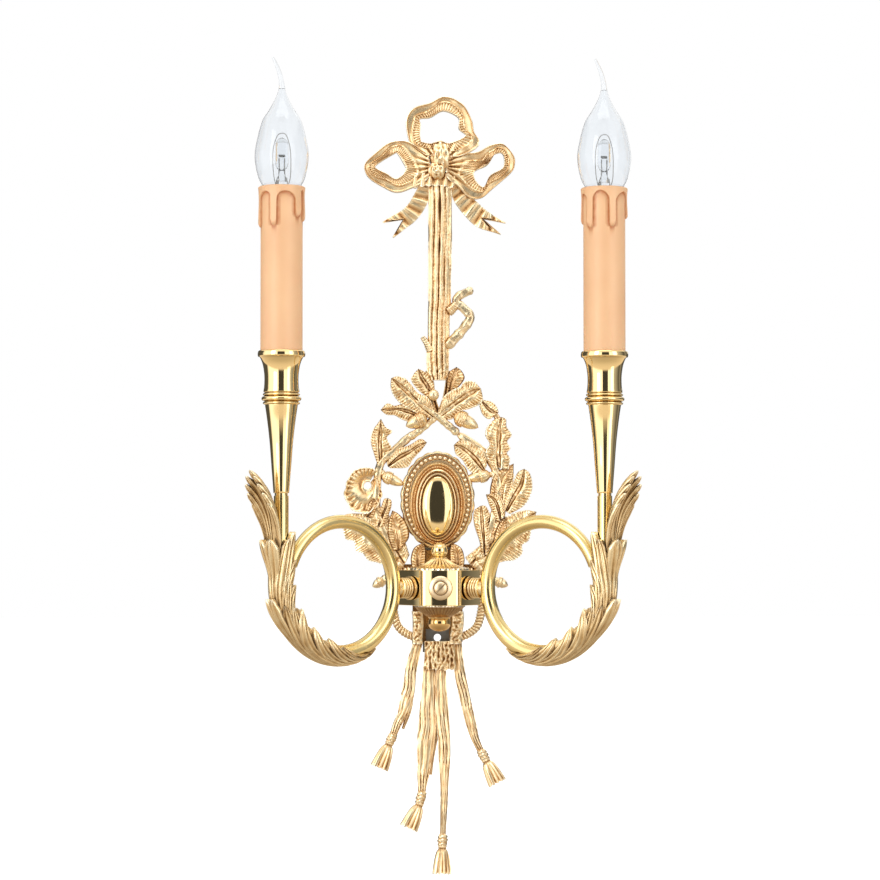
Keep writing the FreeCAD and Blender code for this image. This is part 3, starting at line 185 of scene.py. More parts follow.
def polishedMaterial(name, colour, smooth, smear):
    # polished and lacquered brass, with faint wiping marks; painted shade from ambient occlusion turns it brown in
    # grooves and at joints
    material, tree, shader = newMaterial(name, metallic=1.0)
    marks = grain(tree, 9, 5, 0.6)
    shade = node(tree, "AmbientOcclusion", samples=4, Distance=1.6 * metre).outputs["AO"]
    tone = maths(tree, "ADD", shade, maths(tree, "MULTIPLY", maths(tree, "SUBTRACT", marks, 0.5), 0.1))
    deep = (colour[0] * 0.42, colour[1] * 0.26, colour[2] * 0.10)
    surface(tree, shader, tone, [(0.0, deep), (0.35, darker(colour, 0.75)), (0.75, colour)],
            marks, [(0.3, smooth), (0.75, smooth + smear)])
    bump(tree, shader, grain(tree, 12, 2), 0.05, 0.12)
    return material


def streakedMaterial(name, colour, smooth):
    # drawn tube: polished along its length, so the marks follow the tube's own map
    material, tree, shader = newMaterial(name, metallic=1.0)
    stretch = node(tree, "Mapping", Vector=node(tree, "UVMap", uv_map="along").outputs[0], Scale=(0.02, 1, 1))
    marks = node(tree, "TexNoise", Vector=stretch.outputs[0], Scale=1.4, Detail=4.0).outputs["Fac"]
    surface(tree, shader, marks, [(0.3, darker(colour, 0.9)), (0.7, colour)],
            marks, [(0.3, smooth), (0.7, smooth + 0.12)])
    bump(tree, shader, marks, 0.35, 0.15)
    return material


def plainMaterial(name, colour, rough, grainSize, strength, **more):
    # plastic, steel and the like, with a faint grain
    material, tree, shader = newMaterial(name, **more)
    marks = grain(tree, grainSize, 4)
    surface(tree, shader, marks, [(0.3, darker(colour, 0.92)), (0.7, colour)],
            marks, [(0.3, rough), (0.7, rough + 0.1)])
    bump(tree, shader, marks, strength, 0.1)
    return material


def candleMaterial(name, light, dark, stain):
    # satin candle cover, with brown stain that has run beside the drips
    material, tree, shader = newMaterial(name, coatWeight=0.15, coatRoughness=0.3, subsurfaceWeight=0.08,
                                         subsurfaceScale=0.002)
    tone = ramp(tree, grain(tree, 25, 3), [(0.3, dark), (0.7, light)])
    share = maths(tree, "MULTIPLY", painted(tree, "stain"), maths(tree, "ADD", grain(tree, 3, 3), 0.45), clamp=True)
    join(tree, mixColour(tree, share, tone, stain), shader.inputs["Base Color"])
    join(tree, ramp(tree, grain(tree, 8, 4), [(0.3, 0.34), (0.7, 0.46)]), shader.inputs["Roughness"])
    bump(tree, shader, grain(tree, 1.5, 3), 0.08, 0.1)
    return material


def glassMaterial(name, tint, rough):
    # blown glass, a little uneven in tint
    material, tree, shader = newMaterial(name, transmissionWeight=1.0, ior=1.46)
    surface(tree, shader, grain(tree, 15, 2), [(0.3, darker(tint, 0.98)), (0.7, tint)],
            grain(tree, 10, 3), [(0.3, rough), (0.7, rough + 0.01)])
    return material


brassLight, brassMiddle, brassDark = (0.98, 0.82, 0.52), (0.90, 0.62, 0.32), (0.46, 0.22, 0.07)
paintedEdgeHighlight = (1.0, 0.92, 0.72)                   # painted highlight: the pale brass that the convex edges are mixed towards
looks = {
    "castBrass": castMaterial("castBrass", brassLight, brassMiddle, brassDark, 1.35, 0.31),
    "leafBrass": castMaterial("leafBrass", (0.96, 0.79, 0.48), (0.82, 0.56, 0.26), (0.30, 0.17, 0.06), 2.3, 0.27),
    "mouldBrass": castMaterial("mouldBrass", brassLight, brassMiddle, brassDark, 0.8, 0.26, 0.6),
    "polishedBrass": polishedMaterial("polishedBrass", (0.94, 0.73, 0.37), 0.05, 0.05),
    # painted shade: a darker copy of the polished brass, for the finial under the hub
    "shadedKnobBrass": polishedMaterial("shadedKnobBrass", (0.78, 0.52, 0.22), 0.06, 0.06),
    "brushedBrass": polishedMaterial("brushedBrass", (0.95, 0.76, 0.50), 0.32, 0.08),
    "tubeBrass": streakedMaterial("tubeBrass", (0.90, 0.71, 0.33), 0.12),
    "reededBrass": castMaterial("reededBrass", (0.99, 0.83, 0.50), (0.86, 0.58, 0.25), (0.36, 0.18, 0.05), 1.3, 0.14,
                                0.25),
    # painted shade: a darker copy of the cast brass, for parts that stand in shadow
    "shadedBrass": castMaterial("shadedBrass", (0.46, 0.28, 0.11), (0.34, 0.18, 0.07), (0.14, 0.07, 0.03), 0.9, 0.2,
                                0.25),
    "zincSteel": plainMaterial("zincSteel", (0.30, 0.30, 0.29), 0.32, 2.5, 0.2, metallic=1.0),
    "whitePlastic": plainMaterial("whitePlastic", (0.86, 0.86, 0.83), 0.3, 5, 0.05),
    "cableSheath": plainMaterial("cableSheath", (0.80, 0.77, 0.68), 0.4, 3, 0.1),
    "holderPlastic": plainMaterial("holderPlastic", (0.86, 0.83, 0.75), 0.45, 4, 0.1),
    "insulator": plainMaterial("insulator", (0.03, 0.03, 0.03), 0.2, 4, 0.1),
    "lampCap": plainMaterial("lampCap", (0.80, 0.80, 0.80), 0.25, 1.5, 0.2, metallic=1.0),
    "lampWire": plainMaterial("lampWire", (0.45, 0.44, 0.42), 0.3, 1, 0.1, metallic=1.0),
    "candlePlastic": candleMaterial("candlePlastic", (0.86, 0.52, 0.28), (0.82, 0.47, 0.25), (0.50, 0.16, 0.045)),
    "clearGlass": glassMaterial("clearGlass", (0.94, 0.96, 0.98), 0.0),
    "capsuleGlass": glassMaterial("capsuleGlass", (0.94, 0.96, 0.98), 0.02),
}
print("materials made")


# mesh helpers
def smoothLine(points, count):
    # count + 1 places on a smooth line through the points; a point with two numbers lies at 0 in the third
    points = [Vector((*p, 0)[:3]) for p in points]
    points = [points[0] * 2 - points[1]] + points + [points[-1] * 2 - points[-2]]
    spans = len(points) - 3
    line = []
    for i in range(count + 1):
        t = i / count * spans
        k = min(int(t), spans - 1)
        t -= k
        a, b, c, d = points[k:k + 4]
        line.append(0.5 * (2 * b + (c - a) * t + (2 * a - 5 * b + 4 * c - d) * t * t
                           + (3 * b - a - 3 * c + d) * t ** 3))
    return line


def evenLine(points, count):
    # the same line with its places equally far apart
    fine = smoothLine(points, count * 8)
    run = [0.0]
    for a, b in zip(fine, fine[1:]):
        run.append(run[-1] + (b - a).length)
    line, k = [], 0
    for i in range(count + 1):
        goal = run[-1] * i / count
        while k < len(run) - 2 and run[k + 1] < goal:
            k += 1
        t = (goal - run[k]) / max(run[k + 1] - run[k], 1e-9)
        line.append(fine[k].lerp(fine[k + 1], min(max(t, 0), 1)))
    return line


def between(table, x):
    # a smooth value between (place, value) pairs
    if x <= table[0][0]:
        return table[0][1]
    for (a, low), (b, high) in zip(table, table[1:]):
        if x <= b:
            t = (x - a) / (b - a)
            return low + (high - low) * t * t * (3 - 2 * t)
    return table[-1][1]


def hump(x, centre, wide):
    return math.exp(-((x - centre) / wide) ** 2)      # 1 at the centre, fading away on both sides


def wobble(x, y, z, size):
    return noise.noise(Vector((x, y, z)) / size)


def pour(part, bm):
    # adds a finished part to a piece, and clears the part away
    carrier = bpy.data.meshes.new("part")
    part.to_mesh(carrier)
    part.free()
    bm.from_mesh(carrier)
    bpy.data.meshes.remove(carrier)


def addSlab(bm, along, across):
    # a grid and its copy joined all round: the vertices of the back, then those of the front
    back = bmesh.ops.create_grid(bm, x_segments=along, y_segments=across, size=0.5)["verts"]
    faces = list(dict.fromkeys(f for v in back for f in v.link_faces))
    grown = bmesh.ops.extrude_face_region(bm, geom=faces, use_keep_orig=True)["geom"]
    return back, [g for g in grown if isinstance(g, bmesh.types.BMVert)]


def addRelief(whole, place, rise, along, across, back, closed=False):
    # a plate whose front is carved: place(u, v) gives x and z, rise(u, v) how far it stands out; u 0..1, v -1..1
    bm = bmesh.new()
    flat, front = addSlab(bm, along, across)
    if closed:
        ends = {f for v in front + flat for f in v.link_faces
                if all(c.co.x < -0.4999 for c in f.verts) or all(c.co.x > 0.4999 for c in f.verts)}
        bmesh.ops.delete(bm, geom=list(ends), context="FACES")
    first = place(0.3, 0.4)
    sunk = 0.06 + 0.07 * (int(abs(first[0] * 13.7 + first[1] * 7.3)) % 9)      # so that backs don't share a plane
    for group, out in ((flat, False), (front, True)):
        for v in group:
            u, w = v.co.x + 0.5, 2 * v.co.y
            x, z = place(u, w)
            v.co = (x, -back - (rise(u, w) if out else sunk), z)
    bmesh.ops.remove_doubles(bm, verts=flat + front, dist=0.004)
    pour(bm, whole)


def addSkin(whole, line, across, radius, sides=24, capped=True):
    # a skin round a flat line; across is the line's plane's normal, radius(share, angle) its size
    bm, count = bmesh.new(), len(line) - 1
    made = bmesh.ops.create_grid(bm, x_segments=count, y_segments=sides, size=0.5)["verts"]
    for v in made:
        share, turn = v.co.x + 0.5, (v.co.y + 0.5) * fullTurn
        i = round(share * count)
        heading = (line[min(i + 1, count)] - line[max(i - 1, 0)]).normalized()
        side = heading.cross(across).normalized()
        v.co = line[i] + (side * math.cos(turn) + across * math.sin(turn)) * radius(share, turn)
    bmesh.ops.remove_doubles(bm, verts=made, dist=0.0005)
    if capped:
        bmesh.ops.holes_fill(bm, edges=[e for e in bm.edges if len(e.link_faces) == 1], sides=0)
    pour(bm, whole)


def addTurned(whole, profile, matrix=Matrix(), steps=96, shape=None):
    # a turned shape from (radius, height) pairs; shape(angle, radius, height) may ripple it
    bm = bmesh.new()
    corners = [bm.verts.new((r, 0, z)) for r, z in profile]
    edges = [bm.edges.new(pair) for pair in zip(corners, corners[1:])]
    bmesh.ops.spin(bm, geom=corners + edges, cent=(0, 0, 0), axis=(0, 0, 1), dvec=(0, 0, 0), angle=fullTurn,
                   steps=steps, use_merge=True, use_duplicate=False)
    bmesh.ops.remove_doubles(bm, verts=bm.verts, dist=0.0005)
    if shape:
        for v in bm.verts:
            r, angle = math.hypot(v.co.x, v.co.y), math.atan2(v.co.y, v.co.x)
            r, z = shape(angle, r, v.co.z)
            v.co = (r * math.cos(angle), r * math.sin(angle), z)
    bmesh.ops.transform(bm, matrix=matrix, verts=bm.verts)
    pour(bm, whole)


def softProfile(points, count):
    return [(max(p.x, 0), p.y) for p in smoothLine(points, count)]


def addBall(whole, centre, radii, wide=20, high=12, shape=None):
    bm = bmesh.new()
    for v in bmesh.ops.create_uvsphere(bm, u_segments=wide, v_segments=high, radius=1)["verts"]:
        grow = shape(v.co) if shape else 1
        v.co = Vector(centre) + Vector([c * r * grow for c, r in zip(v.co, radii)])
    pour(bm, whole)


def markRecess(mesh, spread=3):
    # how hollow the surface is at each vertex, for the patina, and how convex, for the painted edge highlight
    count = len(mesh.vertices)
    spots, facing = numpy.zeros(count * 3), numpy.zeros(count * 3)
    ends = numpy.zeros(len(mesh.edges) * 2, dtype=int)
    mesh.vertices.foreach_get("co", spots)
    mesh.vertices.foreach_get("normal", facing)
    mesh.edges.foreach_get("vertices", ends)
    spots, facing = spots.reshape(-1, 3), facing.reshape(-1, 3)
    a, b = ends.reshape(-1, 2).T
    links = numpy.maximum(numpy.bincount(a, minlength=count) + numpy.bincount(b, minlength=count), 1)

    def gathered(values):
        return numpy.bincount(a, values[b], count) + numpy.bincount(b, values[a], count)

    steps = numpy.stack([gathered(spots[:, k]) for k in range(3)], axis=1) / links[:, None] - spots
    long = numpy.linalg.norm(spots[a] - spots[b], axis=1)
    size = (numpy.bincount(a, long, count) + numpy.bincount(b, long, count)) / links
    hollow = (steps * facing).sum(axis=1) / numpy.maximum(size, 1e-9)
    for i in range(spread):
        hollow = 0.5 * hollow + 0.5 * gathered(hollow) / links
    mark = mesh.attributes.new("recess", "FLOAT", "POINT")
    mark.data.foreach_set("value", numpy.clip(hollow * 5 + 0.04, 0, 1).astype(numpy.float32))
    crest = mesh.attributes.new("crest", "FLOAT", "POINT")
    crest.data.foreach_set("value", numpy.clip(-hollow * 4 - 0.16, 0, 1).astype(numpy.float32))


def newPiece(name, bm, body, slotName, look, nodes=(), sharp=42, carved=False):
    bmesh.ops.recalc_face_normals(bm, faces=bm.faces)
    bmesh.ops.scale(bm, vec=(metre, metre, metre), verts=bm.verts)
    mesh = bpy.data.meshes.new(name)
    bm.to_mesh(mesh)
    bm.free()
    if carved:
        markRecess(mesh)
    mesh.polygons.foreach_set("use_smooth", [True] * len(mesh.polygons))
    mesh.set_sharp_from_angle(angle=math.radians(sharp))
    mesh.materials.append(looks[look])
    piece = bpy.data.objects.new(name, mesh)
    scene.collection.objects.link(piece)
    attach(piece, body)
    if nodes:
        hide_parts(*nodes)
    return piece


def castPiece(name, bm, *nodes, look="castBrass", **more):
    return newPiece(name, bm, "sconce", "cast_brass", look, nodes, carved=True, **more)


def brassPiece(name, bm, *nodes, look="polishedBrass", **more):
    return newPiece(name, bm, "sconce", "polished_brass", look, nodes, **more)


sides = (("left", -1), ("right", 1))

# carried-over solids get their finishes
finishes = {"cast_brass": "castBrass", "polished_brass": "polishedBrass", "zinc_steel": "zincSteel",
            "white_plastic": "whitePlastic", "cable_sheath": "cableSheath", "holder_plastic": "holderPlastic",
            "candle_plastic": "candlePlastic", "insulator": "insulator", "lamp_cap": "lampCap",
            "clear_glass": "clearGlass", "capsule_glass": "capsuleGlass"}
for entry in frame["record"]["subparts"]:
    solid = frame["nodes"][entry["node"]]
    solid = bpy.data.objects[solid] if isinstance(solid, str) else solid
    solid.data.materials.clear()
    shaded = entry["node"] == "spine_plate"         # it stands in the shade behind the hub, so it gets the darker copy with painted shade
    solid.data.materials.append(looks["shadedBrass" if shaded else finishes[entry["material_slot"]]])
print("solids finished")

# oak leaves, acorns and branches
leafCut = {"back": 3.0, "thick": 2.6, "cushion": 1.5, "rib": 0.7, "vein": 0.20, "pitch": 1.8, "lip": 0.45,
           "folds": ((1.1, 6.5), (0.5, 3.0)), "along": 90, "across": 26}


def addLeaf(bm, rib, left, right, lift=0.0):
    # an oak leaf cut to its own outline: midrib and both edges run from the stalk to the midrib's last point
    count = leafCut["along"]
    lines = [evenLine(points, count) for points in (rib, left + rib[-1:], right + rib[-1:])]
    veins = fullTurn * sum((b - a).length for a, b in zip(lines[0], lines[0][1:])) / leafCut["pitch"]

    def place(u, v):
        i = round(u * count)
        at = lines[0][i].lerp(lines[1 if v < 0 else 2][i], abs(v))
        return at.x, at.y

    def rise(u, v):
        x, z = place(u, v)
        edge = abs(v)
        (big, bigSize), (small, smallSize) = leafCut["folds"]
        folds = big * wobble(x, 3, z, bigSize) + small * wobble(x, 9, z, smallSize)
        cushion = leafCut["cushion"] * math.sin(math.pi * (0.12 + 0.8 * edge))
        midrib = leafCut["rib"] * (hump(v, 0, 0.06) - hump(edge, 0.14, 0.06)) * (1 - 0.7 * u)
        hatch = leafCut["vein"] * math.cos(veins * u - 4 * edge) * between([(0.25, 0), (0.6, 1), (1, 1)], edge)
        lip = leafCut["lip"] * hump(edge, 0.95, 0.07)
        return max(leafCut["thick"] + folds + cushion + midrib + hatch + lip + lift, 1.2)

    addRelief(bm, place, rise, count, leafCut["across"], leafCut["back"])


def addBranch(bm, points, thick, depth, thin=None):
    # a knotty stem that may grow thinner, its middle standing off the wall
    thin = thick if thin is None else thin
    line = evenLine([(x, -depth, z) for x, z in points], max(int(len(points) * 14), 30))

    def radius(share, turn):
        at = line[round(share * (len(line) - 1))]
        bark = 1.04 + 0.13 * math.sin(share * 21) ** 6 + 0.08 * math.sin(turn * 5 + 2.5 * wobble(at.x, 0, at.z, 9))
        bark += 0.10 * wobble(at.x + 4 * math.cos(turn), 4 * math.sin(turn), at.z, 4)
        end = min(share, 1 - share)
        return (thick + (thin - thick) * share) / 2 * bark * min(1, 0.55 + end * 14)

    addSkin(bm, line, Vector((0, 1, 0)), radius, 20)


def addAcorn(bm, centre, direction, long, thick, depth):
    # a smooth nut in a scaly cup, pointing along the direction
    axis = Vector((direction[0], 0, direction[1])).normalized()
    turn = axis.to_track_quat("Z", "Y").to_matrix().to_4x4()
    place = Matrix.Translation((centre[0], -depth, centre[1])) @ turn
    r, h = thick / 2, long / 2
    nut = softProfile([(0, h), (0.5, h * 0.93), (r * 0.45, h * 0.78), (r * 0.86, h * 0.35), (r * 0.97, -h * 0.1),
                       (r * 0.7, -h * 0.5)], 20)
    addTurned(bm, [(0, h)] + nut[1:] + [(0, -h * 0.5)], place, 24)

    def scales(angle, r, z):
        return r * (1 + 0.09 * math.sin(angle * 7 + z * 2.2) * math.sin(angle * 7 - z * 2.2)), z

    cup = softProfile([(r * 1.04, -h * 0.12), (r * 1.16, -h * 0.25), (r * 1.06, -h * 0.6), (r * 0.6, -h * 0.86),
                       (0.9, -h * 0.98)], 18)
    addTurned(bm, [(0, -h * 0.1)] + cup + [(0, -h)], place, 36, scales)


branchThick, branchDeep = 5.0, 5.2              # thickness, and how far the middle stands off the wall
print("carving the wreath")

# each leaf: its midrib, its left and right edges, and how far it stands over the others
crownLeaves = [
    ([(-2.9, 115.3), (-11.7, 124), (-20.9, 132.8), (-27.4, 138.4), (-31.7, 141.8)],
     [(-4.3, 113.7), (-15.4, 118.5), (-24.6, 124), (-30.2, 130.5), (-32, 136.1)],
     [(-1.7, 120.3), (-6.1, 128.2), (-13.5, 131.9), (-19.1, 138.8), (-22.8, 142.1), (-27.4, 143.1)], 1.9),
    ([(-8, 113.9), (-18.1, 118.5), (-27.4, 120.8), (-33.9, 120.3), (-38.9, 120.2)],
     [(-9.8, 111.1), (-19.1, 112), (-24.6, 113.9), (-29.3, 116.5), (-34.8, 117)],
     [(-7, 116.6), (-15.4, 123.1), (-22.8, 124.5), (-29.3, 123.1), (-34.4, 124.6)], 0.9),
    ([(-3.3, 131), (-7, 137), (-10.7, 142.5), (-13.1, 148.3)],
     [(-7, 128.7), (-13.5, 134.2), (-18, 140.7), (-16.3, 144.8)],
     [(-1.9, 132.4), (-2.6, 139.8), (-6.1, 144.4), (-9.8, 146.8)], 0.2),
    ([(7.8, 133.3), (9.6, 139.8), (11.9, 145.3), (12.9, 149.6)],
     [(6.7, 132.4), (6.5, 140.7), (8, 146.2)],
     [(10.6, 132.4), (16.1, 137.9), (18.5, 142.5), (16.3, 147.1)], 0.2),
    ([(-0.1, 114.8), (7.8, 121.3), (16.1, 127.7), (23.5, 132.4), (29.6, 134.7)],
     [(0.4, 120.3), (4.1, 129.1), (10.6, 134.2), (15.6, 136.1), (18.4, 139.6), (24.4, 139.9)],
     [(3.1, 113.9), (9.6, 113.9), (15.2, 119), (22.6, 121.3), (28.6, 124), (30.9, 127.7)], 1.8),
]
crown = bmesh.new()
for leaf in crownLeaves:
    addLeaf(crown, *leaf)
addBranch(crown, [(14, 104), (-0.3, 116), (-14, 126)], branchThick, branchDeep + 1.8, 3.4)
addBranch(crown, [(-20, 101), (-10, 108), (-0.3, 116), (12, 124)], branchThick, branchDeep + 1.2, 3.4)
addAcorn(crown, (-14.6, 112.2), (-0.85, -0.4), 16, 9.4, branchDeep + 2.2)
addAcorn(crown, (19.6, 112.4), (0.85, -0.45), 19, 9.4, branchDeep + 2.2)
addBall(crown, (-2.8, -8.6, 130.3), (3.7, 3.4, 3.9))


def neckPlace(side):
    line = evenLine([(side * 2.0, 0, 118), (side * 4.5, 0, 126), (side * 5.8, 0, 134), (side * 6.8, 0, 142),
                     (side * 7.5, 0, 147)], 30)

    def place(u, v):
        at = line[round(u * 30)]
        return at.x + 1.2 + v * (3.2 - 1.2 * u), at.z
    return place


for side in (-1, 1):
    addRelief(crown, neckPlace(side), lambda u, v: 3.6 + 0.8 * math.cos(v * 7) - v * v, 30, 12, 3.0)
castPiece("oakCrown", crown, "oak_crown")


def addCurledLeaf(bm, centre, hole, reach, start, sweep):
    # an oak leaf rolled round into a ring: smooth inside, hatched along its outer edge
    def place(u, v):
        angle = math.radians(start + sweep * u)
        outer = between(reach, u) * (0.97 + 0.03 * abs(math.sin(u * math.pi * 11)))
        r = hole + (outer - hole) * (v + 1) / 2
        return centre[0] + r * math.cos(angle), centre[1] + r * math.sin(angle)

    def rise(u, v):
        x, z = place(u, v)
        share = (v + 1) / 2
        hatch = 0.32 * math.cos(u * fullTurn * 24 + share * 5) * between([(0.45, 0), (0.75, 1)], share)
        folds = 1.2 * wobble(x, 4, z, 7) + 0.5 * math.sin(share * 9 + u * 7)
        return 3.0 + 2.2 * share ** 1.5 + folds + hatch + 0.6 * hump(share, 0.96, 0.06) + 0.8 * hump(share, 0.06, 0.08)

    addRelief(bm, place, rise, 190, 26, 3.0)


leftLeaves = [
    ([(-39, 82.5), (-39.4, 91.7), (-39, 102.8), (-38.7, 114.1)],
     [(-40.8, 82.5), (-43.6, 90.8), (-45.6, 98.6), (-44.5, 105.6), (-40.8, 111.1)],
     [(-35.7, 84.3), (-30.2, 91.7), (-33.9, 99.1), (-34.4, 101.9), (-30.9, 105.6), (-35.3, 108.3)], 1.2),
    ([(-33.9, 81.5), (-26.5, 88), (-19.1, 91.7), (-13.5, 95.4), (-7.2, 98)],
     [(-32, 80.4), (-20.9, 81.1), (-16.3, 87.1), (-10.7, 93.1)],
     [(-34.8, 84.3), (-27.4, 93.1), (-19.1, 96.3), (-11.7, 100.5)], 1.6),
    ([(-40.4, 40.9), (-37.6, 48.3), (-35.3, 53.8), (-33.9, 60.1)],
     [(-43.1, 40.9), (-40.4, 49.2), (-38.3, 54.7), (-36.5, 59.3)],
     [(-36.7, 40.9), (-33.9, 47.3), (-31.6, 53.8), (-31.5, 58.4)], 1.6),
    ([(-47.8, 47.3), (-45.5, 51), (-44.1, 54.7), (-43.9, 59.8)],
     [(-50.6, 48.3), (-48.2, 52.9), (-46.7, 56.6)],
     [(-44.1, 46.4), (-42.2, 51), (-40.8, 55.7)], 1.2),
    ([(-22.8, 14.1), (-32, 25.2), (-43.1, 34.4), (-54.3, 40.9), (-65.2, 47.3)],
     [(-30.2, 12.2), (-40.4, 15.9), (-47.3, 17.8), (-51, 22.4), (-55.6, 24.2), (-57, 30.7), (-63.1, 33)],
     [(-19.1, 21.5), (-24.6, 35.3), (-35.7, 42.7), (-45, 48.3), (-54.3, 49.6), (-61.7, 49.2)], 0.5),
    ([(-26.5, 24.2), (-27.4, 33.5), (-29.3, 42.7), (-30.9, 51.7)],
     [(-30.2, 24.2), (-33.9, 34.4), (-33.4, 43.6)],
     [(-24.6, 26.1), (-19.5, 33.5), (-20.9, 42.7), (-26.5, 49.2)], 1.7),
    ([(-27, 21), (-34, 35), (-40, 46.5), (-43, 55)],
     [(-34, 21), (-42, 35), (-48, 44.5), (-47, 51)],
     [(-21, 21), (-26.5, 35), (-32, 46.5), (-35.5, 53)], 0.6)]
leftBranch = bmesh.new()
addBranch(leftBranch, [(-17, 104), (-30, 92), (-39, 83), (-41, 68.6), (-41, 50.5), (-34, 32), (-27, 17)],
          branchThick, branchDeep)
for leaf in leftLeaves:
    addLeaf(leftBranch, *leaf)
curlReach = [(0, 12), (0.12, 12.5), (0.20, 13.8), (0.28, 14.2), (0.35, 15.1), (0.40, 17.4), (0.46, 18.6), (0.51, 20),
             (0.59, 19.4), (0.66, 16.3), (0.73, 12.9), (0.84, 9), (1, 8.4)]      # its outer edge, once round
addCurledLeaf(leftBranch, (-47.7, 68.6), 2.5, curlReach, 60, 350)
addAcorn(leftBranch, (-30.5, 72.5), (1, -0.45), 17, 7.4, branchDeep + 0.6)
addBranch(leftBranch, [(-40, 79), (-37, 76.5), (-33, 74)], 4.4, branchDeep, 3.6)
addBranch(leftBranch, [(-24, 16), (-34, 6), (-42, 1)], 6.2, branchDeep, 5.4)
addAcorn(leftBranch, (-40.5, 2), (-0.8, -0.5), 9, 6.4, branchDeep)
castPiece("oakBranchLeft", leftBranch, "oak_branch_left")

rightLeaves = [
    ([(30.5, 126.1), (34.6, 121.3), (38.3, 118.5), (41.7, 118.5)],
     [(28.6, 123.1), (30.9, 117.1), (35.6, 114.1)],
     [(30.9, 127.2), (36.9, 125.9), (40.2, 122.7)], 0.9),
    ([(41.6, 80.6), (41.6, 91.7), (41.9, 102.8), (43.4, 115.4)],
     [(38.3, 79.7), (32.8, 90.8), (35.6, 96.8), (32.8, 102.8), (33.7, 108.3), (38.3, 113.4)],
     [(48.5, 79.7), (49.4, 87.1), (47.4, 90.8), (49.7, 94), (47.6, 98.6), (50.6, 103.2), (47.1, 108.8), (46.7, 113.9)],
     1.6),
    ([(31.9, 78.8), (26.3, 86.1), (20.7, 91.7), (16.1, 94.9), (11.1, 96.3)],
     [(29.1, 74.1), (21.7, 78.8), (17, 86.1), (12.4, 90.3)],
     [(33.7, 82.5), (31.9, 91.7), (26.3, 96.3), (20.3, 99.1), (15.2, 99.6)], 1.4),
    ([(46.7, 51), (51.3, 60.3), (56.9, 69.5), (59.2, 80.1)],
     [(43.9, 52.9), (47.6, 64), (52.2, 72.3), (55, 77.8)],
     [(49.4, 49.2), (58.7, 54.7), (63.5, 62.1), (64.7, 69.5), (62.9, 76.9)], 1.2),
    ([(39.3, 58.4), (41.1, 67.7), (45.7, 76.9), (52, 83.7)],
     [(35.6, 60.3), (36.5, 69.5), (40.2, 77.8)],
     [(43.9, 58.4), (46.7, 67.7), (51.3, 73.2)], 0.8),
    ([(43, 44.6), (41.1, 53.8), (38.3, 59.3), (33, 62.6)],
     [(40.2, 44.6), (35.6, 54.7)],
     [(45.7, 49.2), (44.8, 57.5), (40.2, 63)], 1.8),
    ([(31.9, 21.5), (31.4, 31.6), (30.5, 42.7), (29.5, 55)],
     [(30, 21.5), (28.6, 30.7), (25.1, 41.8), (24.9, 51)],
     [(34.6, 21.5), (35.6, 32.5), (34.6, 43.6), (35.6, 49.2), (32.8, 54.5)], 1.6),
    ([(22.6, 14.1), (32.8, 24.2), (44.8, 34.4), (55.9, 41.8), (67.6, 50.8)],
     [(18.9, 19.6), (29.1, 27.9), (36.5, 36.2), (42, 44.6), (48.5, 48.3), (55.9, 51), (61.5, 51.8)],
     [(30.9, 12.2), (44.8, 16.8), (52.2, 17.8), (57.8, 22.4), (57.8, 27.9), (62.4, 31.6), (64.3, 39.9)], 0.5),
    ([(38.3, 19.6), (41.6, 29.8), (43.4, 38.1), (45.9, 47.3)],
     [(35.6, 21.5), (38.3, 31.6), (40.6, 39.9)],
     [(42, 20.5), (45.7, 30.7), (47.1, 39)], 1.9),
    ([(42, 47), (43.4, 60), (44.8, 70), (48.5, 79)],
     [(37.4, 47), (38.3, 60), (37, 70), (39, 79)],
     [(46, 47), (47.5, 60), (51, 70), (52, 77)], 0.6),
    ([(31, 17), (36.5, 28), (41, 38), (44, 46.5)],
     [(27, 17), (32, 28), (36.5, 38), (40, 45)],
     [(36.5, 17), (44, 28), (48.5, 38), (48.5, 45)], 0.6)]
rightBranch = bmesh.new()
addBranch(rightBranch, [(14, 104), (18, 101), (29.5, 93), (39.2, 80), (41.5, 68), (40.6, 57.5), (35, 36), (27, 17)],
          branchThick, branchDeep)
addBranch(rightBranch, [(26, 128.5), (37, 120), (43, 110), (43, 97), (40, 82)], branchThick - 1.4, branchDeep)
for leaf in rightLeaves:
    addLeaf(rightBranch, *leaf)
addAcorn(rightBranch, (27.5, 74.6), (-1, -0.2), 18, 7.8, branchDeep + 0.6)
addBranch(rightBranch, [(40, 78), (36, 76), (30, 74.5)], 3.8, branchDeep, 2.6)
addBranch(rightBranch, [(24, 16), (35, 6), (46, 1)], 6.2, branchDeep, 5.4)
addAcorn(rightBranch, (44, 2), (0.9, -0.4), 9, 6.4, branchDeep)
castPiece("oakBranchRight", rightBranch, "oak_branch_right")

